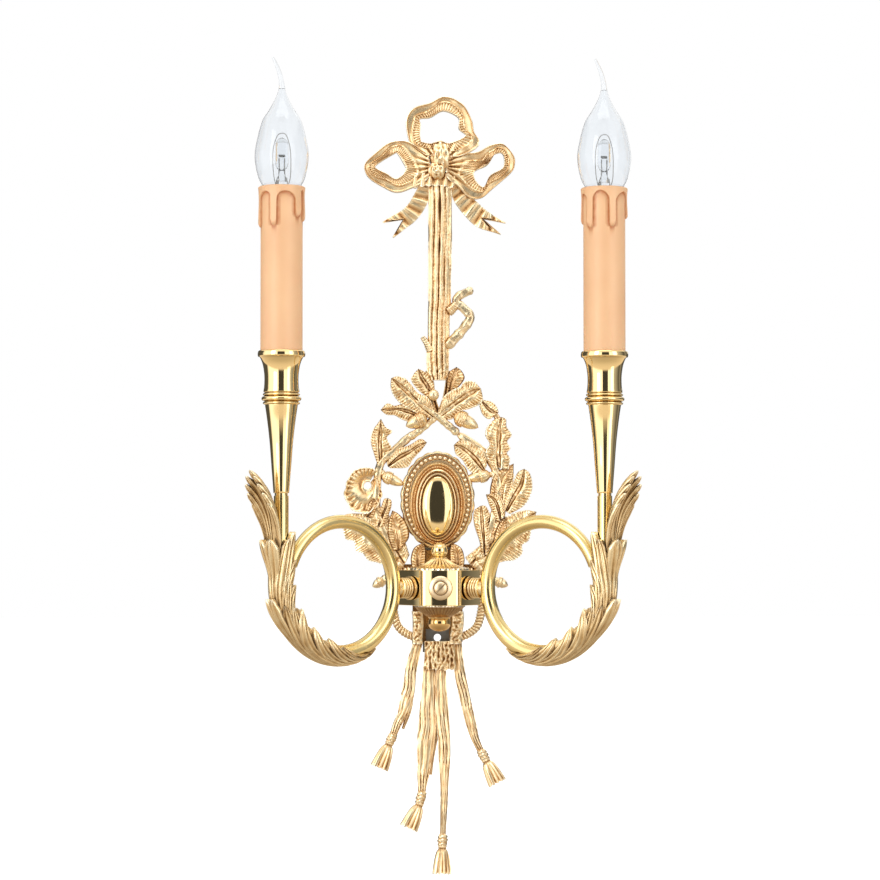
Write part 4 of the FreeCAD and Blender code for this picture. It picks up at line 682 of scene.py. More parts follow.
# ribbon bow
bowCut = {"back": 3.0, "edge": 4.4, "crest": 1.0, "hatch": 0.16, "lines": 60, "rib": 0.7, "rim": 0.7,
          "gathers": 2.6, "gatherReach": 15, "tailRise": 3.0, "tailFold": 0.75}
print("folding the ribbon bow")
bowLoops = [
    ((1, 311), [(-8, 294), (-17, 301), (-20, 306), (-21.5, 319), (-16, 327), (-5, 330.5), (5, 335), (17, 330),
                (23.5, 319), (25, 311), (28.5, 302), (16, 294), (4, 293)],
     [(-11.3, 303.5), (-12, 309), (-11.5, 315), (-12, 319.5), (-5, 320.5), (4, 325), (14, 320.5), (14.5, 313),
      (19, 308), (8, 303), (2, 304.5), (-5, 302.5)], 0.3),
    ((-32, 287), [(-6, 296), (-19, 303.5), (-26, 304.5), (-33, 303), (-40, 298), (-49.5, 289), (-49.5, 283),
                  (-46, 278), (-38, 273), (-29, 269), (-20, 271), (-6, 279)],
     [(-28, 296.5), (-38, 290.5), (-42.5, 286), (-35, 282), (-28, 278.5), (-22, 284.5), (-24, 290)], 0.0),
    ((35, 286.5), [(6, 294), (19, 296), (27.5, 297), (37, 302), (45, 302.5), (52, 295), (53, 289), (50.5, 283),
                   (38, 272), (30, 265.5), (22, 265.5), (14, 273), (6, 280)],
     [(39, 295.5), (43.5, 296.5), (45.5, 293), (44.5, 286), (36, 281), (31.5, 273), (26, 277.5), (25.5, 283.5),
      (34, 288)], 0.0),
]
knotSpot = Vector((1.5, 287))


def polarRim(centre, outline):
    # the outline's distance from a centre at each angle, as a smooth closed table
    line = smoothLine(outline + outline[:1], 240)
    polar = sorted((math.atan2(p.y - centre[1], p.x - centre[0]) % fullTurn,
                    math.hypot(p.x - centre[0], p.y - centre[1])) for p in line)
    table = [(polar[-1][0] - fullTurn, polar[-1][1])] + polar + [(polar[0][0] + fullTurn, polar[0][1])]
    return [between(table, i / 360 * fullTurn) for i in range(361)]


def addLoop(bm, centre, outer, hole, lift):
    # a loop of ribbon between two outlines: a rib down the middle, its outer half hatched
    rims = [polarRim(centre, outer), polarRim(centre, hole)]

    def place(u, v):
        angle, spot = u * fullTurn, u % 1 * 360
        k = int(spot)
        far, near = (rim[k] + (rim[k + 1] - rim[k]) * (spot - k) for rim in rims)
        r = near + (far - near) * (1 - v) / 2
        return centre[0] + r * math.cos(angle), centre[1] + r * math.sin(angle)

    def rise(u, v):
        x, z = place(u, v)
        near = 1 / (1 + ((Vector((x, z)) - knotSpot).length / bowCut["gatherReach"]) ** 4)
        wave = 0.22 * math.sin(u * fullTurn * 3 + 0.6)
        rib = bowCut["rib"] * hump(v, wave, 0.07)
        rimLine = bowCut["rim"] * hump(abs(v), 0.94, 0.07)
        hatched = between([(wave, 0), (wave + 0.2, 1), (0.95, 1), (1, 0)], v)      # only outside the rib
        hatch = bowCut["hatch"] * math.sin(u * fullTurn * bowCut["lines"]) * hatched
        tilt = bowCut["crest"] * v * math.sin(u * fullTurn * 2 + 0.8) + 0.5 * wobble(x, 2, z, 7)
        folds = near * (bowCut["gathers"] + 0.7 * math.sin(math.atan2(z - knotSpot.y, x - knotSpot.x) * 22))
        return bowCut["edge"] + rib + rimLine + hatch + folds + lift + tilt * (1 - near)

    addRelief(bm, place, rise, 300, 22, bowCut["back"], closed=True)


def addTail(bm, spine, widths, fork, bands):
    # a rippled ribbon end, forked from this share of its length on
    count = 80                          # places along the tail
    line = evenLine(spine, count)

    def place(u, v):
        i = round(u * count)
        heading = (line[min(i + 1, count)] - line[max(i - 1, 0)]).normalized()
        side = Vector((-heading.y, heading.x, 0))
        split = max(u - fork, 0) / (1 - fork)
        wide = between(widths, u)
        slot = split ** 0.8 * 0.86
        v = v * (1 - slot) + math.copysign(slot, v) * 1.02 if split > 0 and abs(v) > 1e-6 else v
        at = line[i] + side * v * wide / 2
        if split > 0 and abs(v) <= 1e-6:
            cleft = line[round(fork * count)]
            at = cleft + (line[i] - cleft) * 0.12
        return at.x, at.y

    def rise(u, v):
        fold = 0.9 * math.sin(u * fullTurn * bands + 0.5 * v) + 0.5 * math.sin(u * fullTurn * bands * 2.1 + v)
        return bowCut["tailRise"] + fold * bowCut["tailFold"] - 0.5 * v * v

    addRelief(bm, place, rise, count, 20, bowCut["back"])


bow = bmesh.new()
addTail(bow, [(-8, 274), (-13, 262), (-19, 254), (-26, 249), (-34, 243.5)],
        [(0, 9), (0.3, 11), (0.6, 11.5), (1, 13)], 0.66, 4)
addTail(bow, [(11, 276), (18, 264), (24, 257), (31, 251), (45, 244.5)],
        [(0, 10), (0.3, 12), (0.62, 13), (1, 9)], 0.64, 4.5)
for centre, outer, hole, lift in bowLoops:
    addLoop(bow, centre, outer, hole, lift)


def knotFolds(at):
    turn = math.atan2(at.z + 0.35, at.x - 0.05)
    far = math.hypot(at.x, at.z + 0.35)
    return 0.94 + 0.05 * math.sin(turn * 2 + far * 13) + 0.05 * math.sin(at.x * 11 + at.z * 2)


addBall(bow, (2.0, -7.4, 292.5), (7.6, 5.4, 11.5), 60, 40, knotFolds)
addBall(bow, (-0.6, -9.2, 283.5), (6.2, 4.6, 6.6), 60, 40, knotFolds)


def skirtPlace(u, v):
    # the gathers under the knot
    return -17 + 29 * u + v * 1.5, 276.4 + 4.6 * v + 1.6 * math.sin(u * math.pi) + 0.5 * math.sin(u * 40)


def skirtRise(u, v):
    return 4.8 + 0.7 * math.sin(u * 34 + v * 1.2) + 1.4 * math.sin(u * math.pi)


addRelief(bow, skirtPlace, skirtRise, 90, 14, bowCut["back"])
castPiece("ribbonBow", bow, "ribbon_bow")

# reeded post with its lopped twig
postCut = {"top": 274.0, "foot": 140.5, "reed": 0.8, "back": 3.0, "round": 5.2, "groove": 0.24, "grooves": 15,
           "slit": 1.3, "slits": ((232, 6), (258, 7)), "swelling": 0.9, "crust": 0.9, "crustTall": 24,
           "left": [(140, -5.2), (146, -7.4), (158, -7.7), (168, -6.6), (215, -6.4), (274, -6.3)],
           "right": [(140, 6.2), (146, 7.6), (160, 8.0), (178, 8.2), (200, 9.2), (240, 9.9), (274, 9.6)]}
print("carving the post")
post = bmesh.new()


def postPlace(u, v):
    z = postCut["foot"] + (postCut["top"] - postCut["foot"]) * u
    left, right = between(postCut["left"], z), between(postCut["right"], z)
    return (left + right) / 2 + v * (right - left) / 2 + 0.25 * wobble(z, v, 0, 9), z


def postRise(u, v):
    x, z = postPlace(u, v)
    sway = 0.07 * math.sin(z / 23) + 0.03 * math.sin(z / 8.5)
    reeds = postCut["reed"] * (abs(math.sin(math.pi * (v + sway) * 2.0 + 0.5)) ** 0.4 - 0.6)
    grooves = postCut["groove"] * math.sin((v + sway * 0.7) * postCut["grooves"] + 0.8 * math.sin(z / 9))
    eyes = -postCut["slit"] * hump(v, -0.05, 0.10) * sum(hump(z, *slit) for slit in postCut["slits"])
    eyes += postCut["swelling"] * hump(v, -0.05, 0.22) * hump(z, postCut["slits"][0][0], 9)
    foot = max(0, 1 - (z - postCut["foot"]) / postCut["crustTall"])
    crust = postCut["crust"] * foot * wobble(x * 1.2, 3, z, 2.6) + 0.16 * wobble(x, 7, z, 1.4)
    return postCut["round"] * math.sqrt(max(1 - 0.72 * v * v, 0)) + reeds + grooves + eyes + crust + 0.5


addRelief(post, postPlace, postRise, 340, 40, postCut["back"])
postMiddle = 6.2
addBranch(post, [(6, 163), (12, 169.5), (18, 176), (22.3, 184), (17.5, 190), (13, 194), (14.5, 198), (24, 203)], 6.4,
          postMiddle, 5.0)
addBranch(post, [(7, 187), (10.5, 190), (14, 194)], 6.4, postMiddle, 5.2)
addBranch(post, [(22.6, 183.5), (20.4, 188), (16.8, 192)], 4.6, postMiddle + 0.6, 3.4)
addBranch(post, [(-4.5, 160), (-7.5, 166), (-10.5, 170.2)], 5.0, postMiddle, 3.0)
castPiece("reedPost", post, "reed_post")

# medallion
medal = {"wide": 51.0, "tall": 67.0, "level": 58.7, "back": 3.0, "beads": 46, "bead": 1.3, "beadInset": 4.3,
         "beadRise": 4.6, "scallops": 22, "scallop": 0.8, "ringWide": 37.6, "ringTall": 56.6,
         "ringLevels": (56.0, 54.6), "milled": 130, "mill": 0.22, "steps": 320}
gem = {"wide": 21.3, "tall": 39.8, "rise": 2.9, "face": 12.8, "back": 3, "level": 54.7}
print("turning the medallion")
medallion = bmesh.new()
# distance in from the edge, and how far the moulding stands out there
rimSteps = [(0.0, 3.0), (0.3, 4.3), (1.4, 5.2), (2.3, 5.3), (2.9, 4.3), (5.7, 4.3), (6.2, 5.0), (9.0, 4.9)]
ringSteps = [(0.0, 4.6), (0.3, 7.2), (0.8, 7.9), (1.3, 6.9), (1.7, 6.3), (2.6, 6.9), (3.4, 6.3), (3.7, 7.2),
             (4.2, 8.4), (4.8, 8.9), (5.3, 8.2), (5.7, 6.9), (6.3, 7.4), (7.0, 7.6), (7.9, 6.6), (8.4, 6.0)]


def ovalSpot(half, tall, inset, turn, level):
    return (half - inset) * math.cos(turn), level + (tall - inset) * math.sin(turn)


def addOval(half, tall, levels, profile, deep, scallops=0, milled=0):
    # an oval moulding whose inner edge may sit lower than its outer one
    def inset(u, v):
        away = (v + 1) / 2 * profile[-1][0]
        bite = medal["scallop"] * (1 - abs(math.sin(u * math.pi * scallops))) * max(0, 1 - away / 1.6)
        return away + (bite if scallops else 0)

    def place(u, v):
        return ovalSpot(half, tall, inset(u, v), u * fullTurn, levels[0] + (levels[1] - levels[0]) * (v + 1) / 2)

    def rise(u, v):
        away = (v + 1) / 2 * profile[-1][0]
        return between(profile, away) + medal["mill"] * math.sin(u * fullTurn * milled) * hump(away, 2.6, 0.7)

    addRelief(medallion, place, rise, medal["steps"], deep, medal["back"], closed=True)


addOval(medal["wide"] / 2, medal["tall"] / 2, (medal["level"], medal["level"]), rimSteps, 50, medal["scallops"])
addOval(medal["ringWide"] / 2, medal["ringTall"] / 2, medal["ringLevels"], ringSteps, 70, milled=medal["milled"])
beadRun = [ovalSpot(medal["wide"] / 2, medal["tall"] / 2, medal["beadInset"], i / 100 * fullTurn, medal["level"])
           for i in range(101)]
beadLine = evenLine(beadRun, medal["beads"])
for spot in beadLine[:-1]:
    bead = bmesh.ops.create_icosphere(medallion, subdivisions=2, radius=medal["bead"])["verts"]
    bmesh.ops.translate(medallion, vec=(spot.x, -medal["back"] - medal["beadRise"], spot.y), verts=bead)
addRelief(medallion, lambda u, v: ovalSpot(18, 27, 7.0 + 10.4 * (v + 1) / 2, u * fullTurn, gem["level"]),
          lambda u, v: 5.4, 96, 4, medal["back"], closed=True)      # the seat under the cabochon
castPiece("medallionFrame", medallion, "medallion_frame", look="mouldBrass")

stone = bmesh.new()
for v in bmesh.ops.create_uvsphere(stone, u_segments=112, v_segments=72, radius=1)["verts"]:
    deep = min(v.co.y, 0) * gem["rise"] + max(v.co.y, 0) * gem["back"]      # a low dome in front, flat behind
    v.co = (v.co.x * gem["wide"] / 2, deep - gem["face"], gem["level"] + v.co.z * gem["tall"] / 2)
brassPiece("cabochon", stone, "cabochon")

# hub
hub = {"depth": 42.0, "frontWide": 24.6, "tall": 23.3, "front": 23.8, "angle": 37.0, "bulge": 2.07, "panel": 11.7,
       "groove": [(11.8, 3.4), (12.6, 3.4), (12.7, 1.5), (13.8, 2.1)], "chamfer": 3, "edge": 0.22}
print("polishing the hub")
low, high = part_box("hub_box")
hubSide = (high[0] - low[0]) / 2 / metre
hubRear = high[1] / metre
slant = (hubSide - hub["frontWide"] / 2) / math.tan(math.radians(hub["angle"]))
hubBox = bmesh.new()
frontY = -hub["depth"] - hub["front"]
panel = [(i / 8 * hub["panel"], hub["bulge"] * (i / 8) ** 2) for i in range(-8, 9)]      # swells in the middle
facePoints = [(-x, y) for x, y in reversed(hub["groove"])] + panel + hub["groove"]
rear = [(hubSide, slant + frontY), (hubSide, hubRear - hub["chamfer"]), (hubSide - hub["chamfer"], hubRear)]
plan = [(x, frontY + y) for x, y in facePoints] + rear + [(-x, y) for x, y in reversed(rear)]
floorFace = hubBox.faces.new([hubBox.verts.new((x, y, -hub["tall"] / 2)) for x, y in plan])
walls = bmesh.ops.extrude_face_region(hubBox, geom=[floorFace], use_keep_orig=True)["geom"]
bmesh.ops.translate(hubBox, vec=(0, 0, hub["tall"]), verts=[g for g in walls if isinstance(g, bmesh.types.BMVert)])
bmesh.ops.recalc_face_normals(hubBox, faces=hubBox.faces)
crisp = [e for e in hubBox.edges if len(e.link_faces) == 2 and e.calc_face_angle(0) > 0.4]
bmesh.ops.bevel(hubBox, geom=crisp, offset=hub["edge"], offset_type="OFFSET", segments=3, profile=0.5,
                affect="EDGES", material=-1)
brassPiece("hubBox", hubBox, "hub_box", sharp=12)

domes = {"centre": -46.1, "topReeds": 26, "topReed": 0.17, "topWide": 39.4, "topCrest": 19.65,
         "lowReeds": 40, "lowReed": 0.06, "lowWide": 34.0, "lowCrest": -19.65}
domePlace = Matrix.Translation((0, domes["centre"], 0))
half = hub["tall"] / 2


def reeds(count, deep, low, high):
    def shape(angle, r, z):
        share = hump((z - low) / (high - low), 0.5, 0.42)
        return r * (1 - deep * share * (1 - abs(math.sin(angle * count / 2)))), z
    return shape


topDome = bmesh.new()
topWide, topCrest = domes["topWide"] / 2, domes["topCrest"]
topProfile = [(0, half), (topWide, half), (topWide + 0.1, half + 0.6)] + softProfile(
    [(topWide, half + 1.2), (topWide * 0.76, half + 2.3), (topWide * 0.53, half + 4.2), (5.9, topCrest - 0.8),
     (5.4, topCrest)], 26) + [(0, topCrest)]
addTurned(topDome, topProfile, domePlace, 300, reeds(domes["topReeds"], domes["topReed"], half + 1, topCrest))
brassPiece("hubTopDome", topDome, "hub_top_dome", look="reededBrass", carved=True)

lowDome = bmesh.new()
lowWide, lowCrest = domes["lowWide"] / 2, domes["lowCrest"]
lowProfile = [(0, -half), (lowWide, -half), (lowWide + 0.1, -half - 0.6), (lowWide, -half - 1.2)] + softProfile(
    [(lowWide - 0.6, -half - 1.3), (lowWide * 0.86, -half - 3.4), (lowWide * 0.62, -half - 6.2), (7.9, lowCrest + 0.3),
     (7.6, lowCrest)], 26) + [(0, lowCrest)]
addTurned(lowDome, lowProfile, domePlace, 300, reeds(domes["lowReeds"], domes["lowReed"], lowCrest, -half - 1))
# painted shade: the lower dome, under the hub, gets the darker copy of the cast brass
brassPiece("hubBottomDome", lowDome, "hub_bottom_dome", look="shadedBrass", carved=True)

knobs = {"ball": 5.5, "ballLevel": 24.6, "finial": 7.7, "finialFoot": -29.3}
ball = bmesh.new()
addTurned(ball, [(0, 19.2), (4.6, 19.2), (4.9, 19.7), (4.4, 20.2)] + softProfile(
    [(3.4, 20.3), (4.8, 21.9), (knobs["ball"], knobs["ballLevel"]), (4.7, 27.4), (2.6, 29.4), (0, 30.1)], 24),
    domePlace, 64)
brassPiece("topBall", ball, "top_ball")
finial = bmesh.new()
addTurned(finial, [(0, -19.0), (7.3, -19.2), (7.5, -19.8), (7.2, -20.3)] + softProfile(
    [(7.0, -20.6), (knobs["finial"], -22.8), (7.4, -25.2), (5.8, -27.5), (3.0, -28.9), (0, knobs["finialFoot"])], 30),
    domePlace, 72)
# painted shade: the finial under the hub gets the darker copy of the polished brass
brassPiece("bottomFinial", finial, "bottom_finial", look="shadedKnobBrass")

cap = {"wide": 16.0, "thick": 2.3, "head": 8.6, "headTall": 2.1, "slot": 0.9}
facing = Matrix.Translation((0, frontY, 0)) @ Matrix.Rotation(math.radians(90), 4, "X")
rosette = bmesh.new()
addTurned(rosette, [(0, 0), (cap["wide"] / 2, 0), (cap["wide"] / 2, 0.9)] + softProfile(
    [(cap["wide"] / 2 - 0.1, 1.1), (7.2, 1.6), (5.9, 2.1), (4.9, cap["thick"])], 12)
    + [(4.5, cap["thick"] - 0.6), (0, cap["thick"] - 0.6)], facing, 96)
brassPiece("hubRosette", rosette, "hub_rosette", look="brushedBrass")
screw = bmesh.new()
addTurned(screw, [(0, 0.2), (cap["head"] / 2, 0.2), (cap["head"] / 2, cap["thick"] + 0.8)] + softProfile(
    [(cap["head"] / 2 - 0.15, cap["thick"] + 1.1), (3.2, cap["thick"] + 1.65), (1.6, cap["thick"] + 2.0),
     (0, cap["thick"] + cap["headTall"])], 14), facing, 64)
slotNormal = Vector((1, 0, -1)).normalized()
for sign in (1, -1):                    # the slot's two walls, each between two cuts
    for off in (0, 0.08):
        bmesh.ops.bisect_plane(screw, geom=screw.verts[:] + screw.edges[:] + screw.faces[:], plane_no=slotNormal,
                               plane_co=slotNormal * sign * (cap["slot"] / 2 + off))
deepest = frontY - cap["thick"] - 0.9
for v in screw.verts:
    if abs(v.co.dot(slotNormal)) < cap["slot"] / 2 + 0.02 and v.co.y < deepest:
        v.co.y = deepest
brassPiece("hubScrew", screw, "hub_screw", look="brushedBrass", sharp=30)

# arms
arm = {"ringReach": 81.9, "ringRise": 1.0, "ring": 42.8, "candleReach": 130.0, "stemTop": 62.1,
       "tail": 20.0, "step": 2.0,
       "widths": [(20, 4.0), (90, 4.5), (180, 4.85), (270, 5.5), (360, 4.75)]}
collarCut = {"foot": 25.2, "plate": 7.9, "first": 26.7, "pitch": 1.95, "rings": 4, "top": 37.0}
outerTurn = arm["candleReach"] - arm["ringReach"]
outerRise = arm["ringRise"] - arm["ring"] + outerTurn
slope = math.radians(hub["angle"])


def armDirections(side):
    return Vector((side * math.cos(slope), -math.sin(slope), 0)), Vector((side * math.sin(slope), math.cos(slope), 0))


def armSpot(side, reach, rise, off=0.0):
    along, across = armDirections(side)
    return Vector((0, -hub["depth"], rise)) + along * reach + across * off


def ringSpot(degrees):
    # place on the arm's middle line, its outward direction and its radius; past 360 the stem rises by millimetres
    turn = math.radians(min(degrees, 360))
    if degrees <= 270:
        centre, r = (arm["ringReach"], arm["ringRise"]), arm["ring"]
    else:
        centre, r = (arm["ringReach"], outerRise), outerTurn
    out = (math.cos(turn), math.sin(turn))
    climb = max(degrees - 360, 0)
    return (centre[0] + r * out[0], centre[1] + r * out[1] + climb), out, between(arm["widths"], min(degrees, 360))


print("bending the arms")
for name, side in sides:
    along, across = armDirections(side)
    stations = [arm["tail"] + i * arm["step"] for i in range(int((360 - arm["tail"]) / arm["step"]) + 1)]
    stations += [360 + i * arm["step"] for i in range(1, int((arm["stemTop"] - outerRise) / arm["step"]) + 1)]
    line = [armSpot(side, *ringSpot(s)[0]) for s in stations]
    widths = [ringSpot(s)[2] for s in stations]
    tube = bmesh.new()
    addSkin(tube, line, across, lambda share, turn: widths[round(share * (len(line) - 1))], 40)
    piece = brassPiece(name + "Arm", tube, name + "_arm", look="tubeBrass", sharp=60)
    flatMap = piece.data.uv_layers.new(name="along")
    for polygon in piece.data.polygons:
        for corner in polygon.loop_indices:
            spot = piece.data.vertices[piece.data.loops[corner].vertex_index].co / metre
            reach = (spot - Vector((0, -hub["depth"], 0))).dot(along)
            off = spot.y + hub["depth"] + reach * math.sin(slope)
            aside, high = reach - arm["ringReach"], spot.z - arm["ringRise"]
            flatMap.data[corner].uv = (math.atan2(high, aside) * 40,
                                       math.atan2(off, math.hypot(aside, high) - arm["ring"]) * 2)

    collar = bmesh.new()
    turn = Vector((0, 0, 1)).rotation_difference(along).to_matrix().to_4x4()
    place = Matrix.Translation((0, -hub["depth"], 0)) @ turn
    rings = [(0, collarCut["foot"]), (collarCut["plate"], collarCut["foot"]),
             (collarCut["plate"], collarCut["first"] - 0.3),
             (6.0, collarCut["first"])]
    for i in range(collarCut["rings"]):
        base = collarCut["first"] + i * collarCut["pitch"]
        rings += softProfile([(5.7, base), (6.5, base + 0.35), (6.85, base + 0.97), (6.5, base + 1.6),
                              (5.7, base + collarCut["pitch"])], 8)
    rings += [(5.4, 34.6), (5.2, collarCut["top"]), (0, collarCut["top"])]
    addTurned(collar, rings, place, 64)
    brassPiece(name + "Collar", collar, name + "_collar", look="reededBrass", sharp=60)

# candle cones and cups
coneShape = [(5.05, 62.6), (5.6, 70), (6.3, 78.9), (7.5, 94.8), (9.0, 108), (10.5, 118.6)]
cup = {"coneTop": 118.6, "bands": ((118.7, 120.7, 11.9), (121.0, 124.0, 12.75), (124.3, 126.2, 11.9)),
       "bandTop": 126.3,
       "waist": 134.6, "top": 153.3, "flange": 15.25, "waistWide": 10.9}
print("turning cones and cups")
for name, side in sides:
    centre = Matrix.Translation(armSpot(side, arm["candleReach"], 0))
    cone = bmesh.new()
    profile = [(0, 52), (4.2, 52), (4.2, 62.0), (4.9, 62.1)] + softProfile(coneShape, 60) + [(0, cup["coneTop"])]
    addTurned(cone, profile, centre, 128)
    brassPiece(name + "Cone", cone, name + "_cone")
    bowl = bmesh.new()
    profile = [(0, cup["coneTop"]), (10.6, cup["coneTop"])]
    for low, high, wide in cup["bands"]:
        profile += softProfile([(wide - 1.3, low), (wide - 0.3, low + (high - low) * 0.2), (wide, (low + high) / 2),
                                (wide - 0.3, high - (high - low) * 0.2), (wide - 1.3, high)], 10)
    profile += softProfile([(10.6, cup["bandTop"]), (11.5, cup["bandTop"] + 0.7), (11.1, 130),
                            (cup["waistWide"], cup["waist"]), (11.1, 139), (12.0, 144.5), (13.4, 148.2),
                            (14.2, 149.4)], 36)
    rim = cup["flange"]
    profile += [(rim - 0.3, 149.5)] + softProfile([(rim - 0.1, 149.9), (rim, 151.3), (rim - 0.35, 152.9)], 8)
    profile += [(rim - 0.9, cup["top"]), (13.7, cup["top"]), (13.62, 150.4), (0, 150.4)]
    addTurned(bowl, profile, centre, 160)
    brassPiece(name + "Cup", bowl, name + "_cup", sharp=50)

# candle sleeves with their drips
drips = {"top": 258.9, "foot": 150.3, "radius": 13.5, "bore": 12.4, "collar": 1.95, "knob": 0.55, "roundEnd": 2.6,
         "arch": 3.0, "archSway": 1.6, "archMost": 7, "turned": 37,
         # the middle of each drip in degrees, its width in degrees and its length in millimetres
         "runs": [(-172, 17, 27), (-110, 16, 26.5), (-41, 16, 20.5), (-7, 16, 23), (36, 17, 25), (80, 16, 18),
                  (128, 17, 24)]}
stains = {"reach": 2.2, "onWax": 0.8, "aside": 0.23, "trail": 1.8, "long": 0.85, "short": 0.6, "lip": 0.55}


def dripLength(degrees, runs):
    # round-ended drips with round arches between them, in millimetres below the rim
    gaps = []
    for centre, wide, reach in runs:
        off = (degrees - centre + 180) % 360 - 180
        if abs(off) < wide / 2:
            return reach - drips["roundEnd"] * (1 - math.sqrt(1 - (2 * off / wide) ** 2))
        gaps.append(off - math.copysign(wide / 2, off))
    before = min([g for g in gaps if g > 0], default=20)
    after = min([-g for g in gaps if g <= 0], default=20)
    across = (before - after) / (before + after)
    arch = min(0.13 * (before + after), drips["archMost"]) * (1 - math.sqrt(max(1 - across ** 2, 0)))
    return drips["arch"] + drips["archSway"] * math.sin(math.radians(degrees * 2 + 40)) ** 2 + arch


print("pouring the candle sleeves")
for name, side in sides:
    sleeve = bmesh.new()
    layer = sleeve.verts.layers.float.new("stain")
    shift = 0 if side < 0 else drips["turned"]      # so that the two candles differ
    runs = [(a + shift, w, r) for a, w, r in drips["runs"]]
    centre = armSpot(side, arm["candleReach"], 0)
    rows = [drips["foot"] + i * 6.2 for i in range(10)] + [drips["foot"] + 62 + i * 0.95 for i in range(46)]
    rows = [r for r in rows if r < drips["top"] - 0.5] + [drips["top"] - 0.4]
    skin = bmesh.ops.create_grid(sleeve, x_segments=216, y_segments=len(rows) - 1, size=0.5)["verts"]
    for v in skin:
        degrees = (v.co.x + 0.5) * 360 - 180
        z = rows[round((v.co.y + 0.5) * (len(rows) - 1))]
        deep = drips["top"] - z
        edge = dripLength(degrees, runs)
        below = abs(deep - edge)
        for d in (-11, -9, -7, -5, -3, -1.5, 1.5, 3, 5, 7, 9, 11):     # how near the side of a drip is
            if (deep - dripLength(degrees + d, runs)) * (deep - edge) < 0:
                below = min(below, abs(d) * stains["aside"])
        fade = math.exp(-max(deep - edge - 1.2, 0) / stains["trail"]) * stains["long" if edge > 14 else "short"]
        line = math.exp(-(below / stains["reach" if deep > edge else "onWax"]) ** 2)
        v[layer] = max(line, fade if deep > edge else 0)
        v.co = (math.radians(degrees), z, 0)
    for v in skin:
        turn, z = v.co.x, v.co.y
        v.co = (centre.x + drips["radius"] * math.cos(turn), centre.y + drips["radius"] * math.sin(turn), z)
    bmesh.ops.remove_doubles(sleeve, verts=skin, dist=0.0005)
    wax = bmesh.ops.create_grid(sleeve, x_segments=360, y_segments=34, size=0.5)["verts"]
    for v in wax:
        degrees = (v.co.x + 0.5) * 360 - 180
        share = v.co.y + 0.5
        edge = dripLength(degrees, runs)
        deep = edge * share
        knob = drips["knob"] * hump(share, 0.9, 0.09) if edge > 12 else 0
        thick = drips["collar"] * (0.62 + 0.38 * math.exp(-deep / 4)) + knob
        slide = max(0.0, (share - 0.86) / 0.14)
        thick *= math.sqrt(max(1 - slide ** 2, 0))
        lip = min(1, 0.35 + deep / 1.2)
        r = drips["radius"] - 0.12 + thick * lip
        turn = math.radians(degrees)
        v.co = (centre.x + r * math.cos(turn), centre.y + r * math.sin(turn), drips["top"] - 0.05 - deep)
        v[layer] = stains["lip"] * hump(share, 1.0, 0.05)
    bmesh.ops.remove_doubles(sleeve, verts=wax, dist=0.0005)
    bore, top = drips["bore"], drips["top"]
    inner = [(13.2, top - 0.3), (bore + 0.3, top - 0.05), (bore, top - 0.4), (bore, drips["foot"]),
             (13.5, drips["foot"])]
    addTurned(sleeve, inner, Matrix.Translation((centre.x, centre.y, 0)), 96)
    newPiece(name + "CandleSleeve", sleeve, "sconce", "candle_plastic", "candlePlastic", [name + "_candle_sleeve"],
             sharp=70)

# flame lamps
flame = {"base": 249.6, "wall": 0.7, "top": 342.2, "hollowTop": 322.0, "bendFrom": 322, "bend": 6.2,
         "shape": [(249.6, 6.3), (253, 7.6), (258.9, 12.1), (266, 15.4), (278, 17.4), (289, 15.9), (301, 12.6),
                   (308, 8.4), (314, 5.0), (320, 2.6), (325.4, 1.7), (333, 1.35), (342.4, 0.8)]}
capsuleShape = [(0, 290.3), (1.2, 290.1), (3.2, 288.6), (4.2, 286), (4.3, 280), (4.3, 274.5), (3.4, 271.2),
                (2.2, 269.6)]
sealShape = [(5.6, 249.7), (5.0, 251.5), (3.2, 254.5), (2.6, 259), (0.5, 260.5), (0, 260.6)]
wiring = {"lead": [(2.4, 247), (2.6, 256), (3.6, 262), (1.4, 268), (1.2, 277)], "leadThick": 0.3,
          "frame": [(3.4, 258), (5.6, 266), (5.5, 282), (3.0, 291.5), (0, 293.2), (-3.2, 291), (-5.6, 282),
                    (-5.4, 268), (-3.4, 258)], "frameThick": 0.28,
          "coilLong": 2.6, "coilWide": 0.75, "coilLevel": 278.5, "coilThick": 0.14,
          "crimps": ((-1, 262), (1, 263.5)), "crimp": (1.6, 1.2, 2.4)}
print("blowing the lamps")


def addGlass(bm, centre, wall, top):
    # the flame's skin, its stalk bending over towards -X
    heights = [flame["base"] + (top - flame["base"]) * i / 110 for i in range(111)]
    profile = smoothLine(flame["shape"], 600)

    def wide(z):
        for a, b in zip(profile, profile[1:]):
            if z <= b.x:
                return a.y + (b.y - a.y) * (z - a.x) / max(b.x - a.x, 1e-6)
        return profile[-1].y

    def lean(z):
        return -flame["bend"] * max((z - flame["bendFrom"]) / 20.8, 0) ** 1.9

    line = [centre + Vector((lean(z), 0, z)) for z in heights]
    addSkin(bm, line, Vector((0, 1, 0)), lambda share, turn: max(wide(heights[round(share * 110)]) - wall, 0.12), 64,
            capped=False)


def pinched(angle, r, z):
    # the capsule's foot is pressed flat round its leads
    return r * (1 if z > 269.6 else 0.62 + 0.5 * abs(math.cos(angle))), z


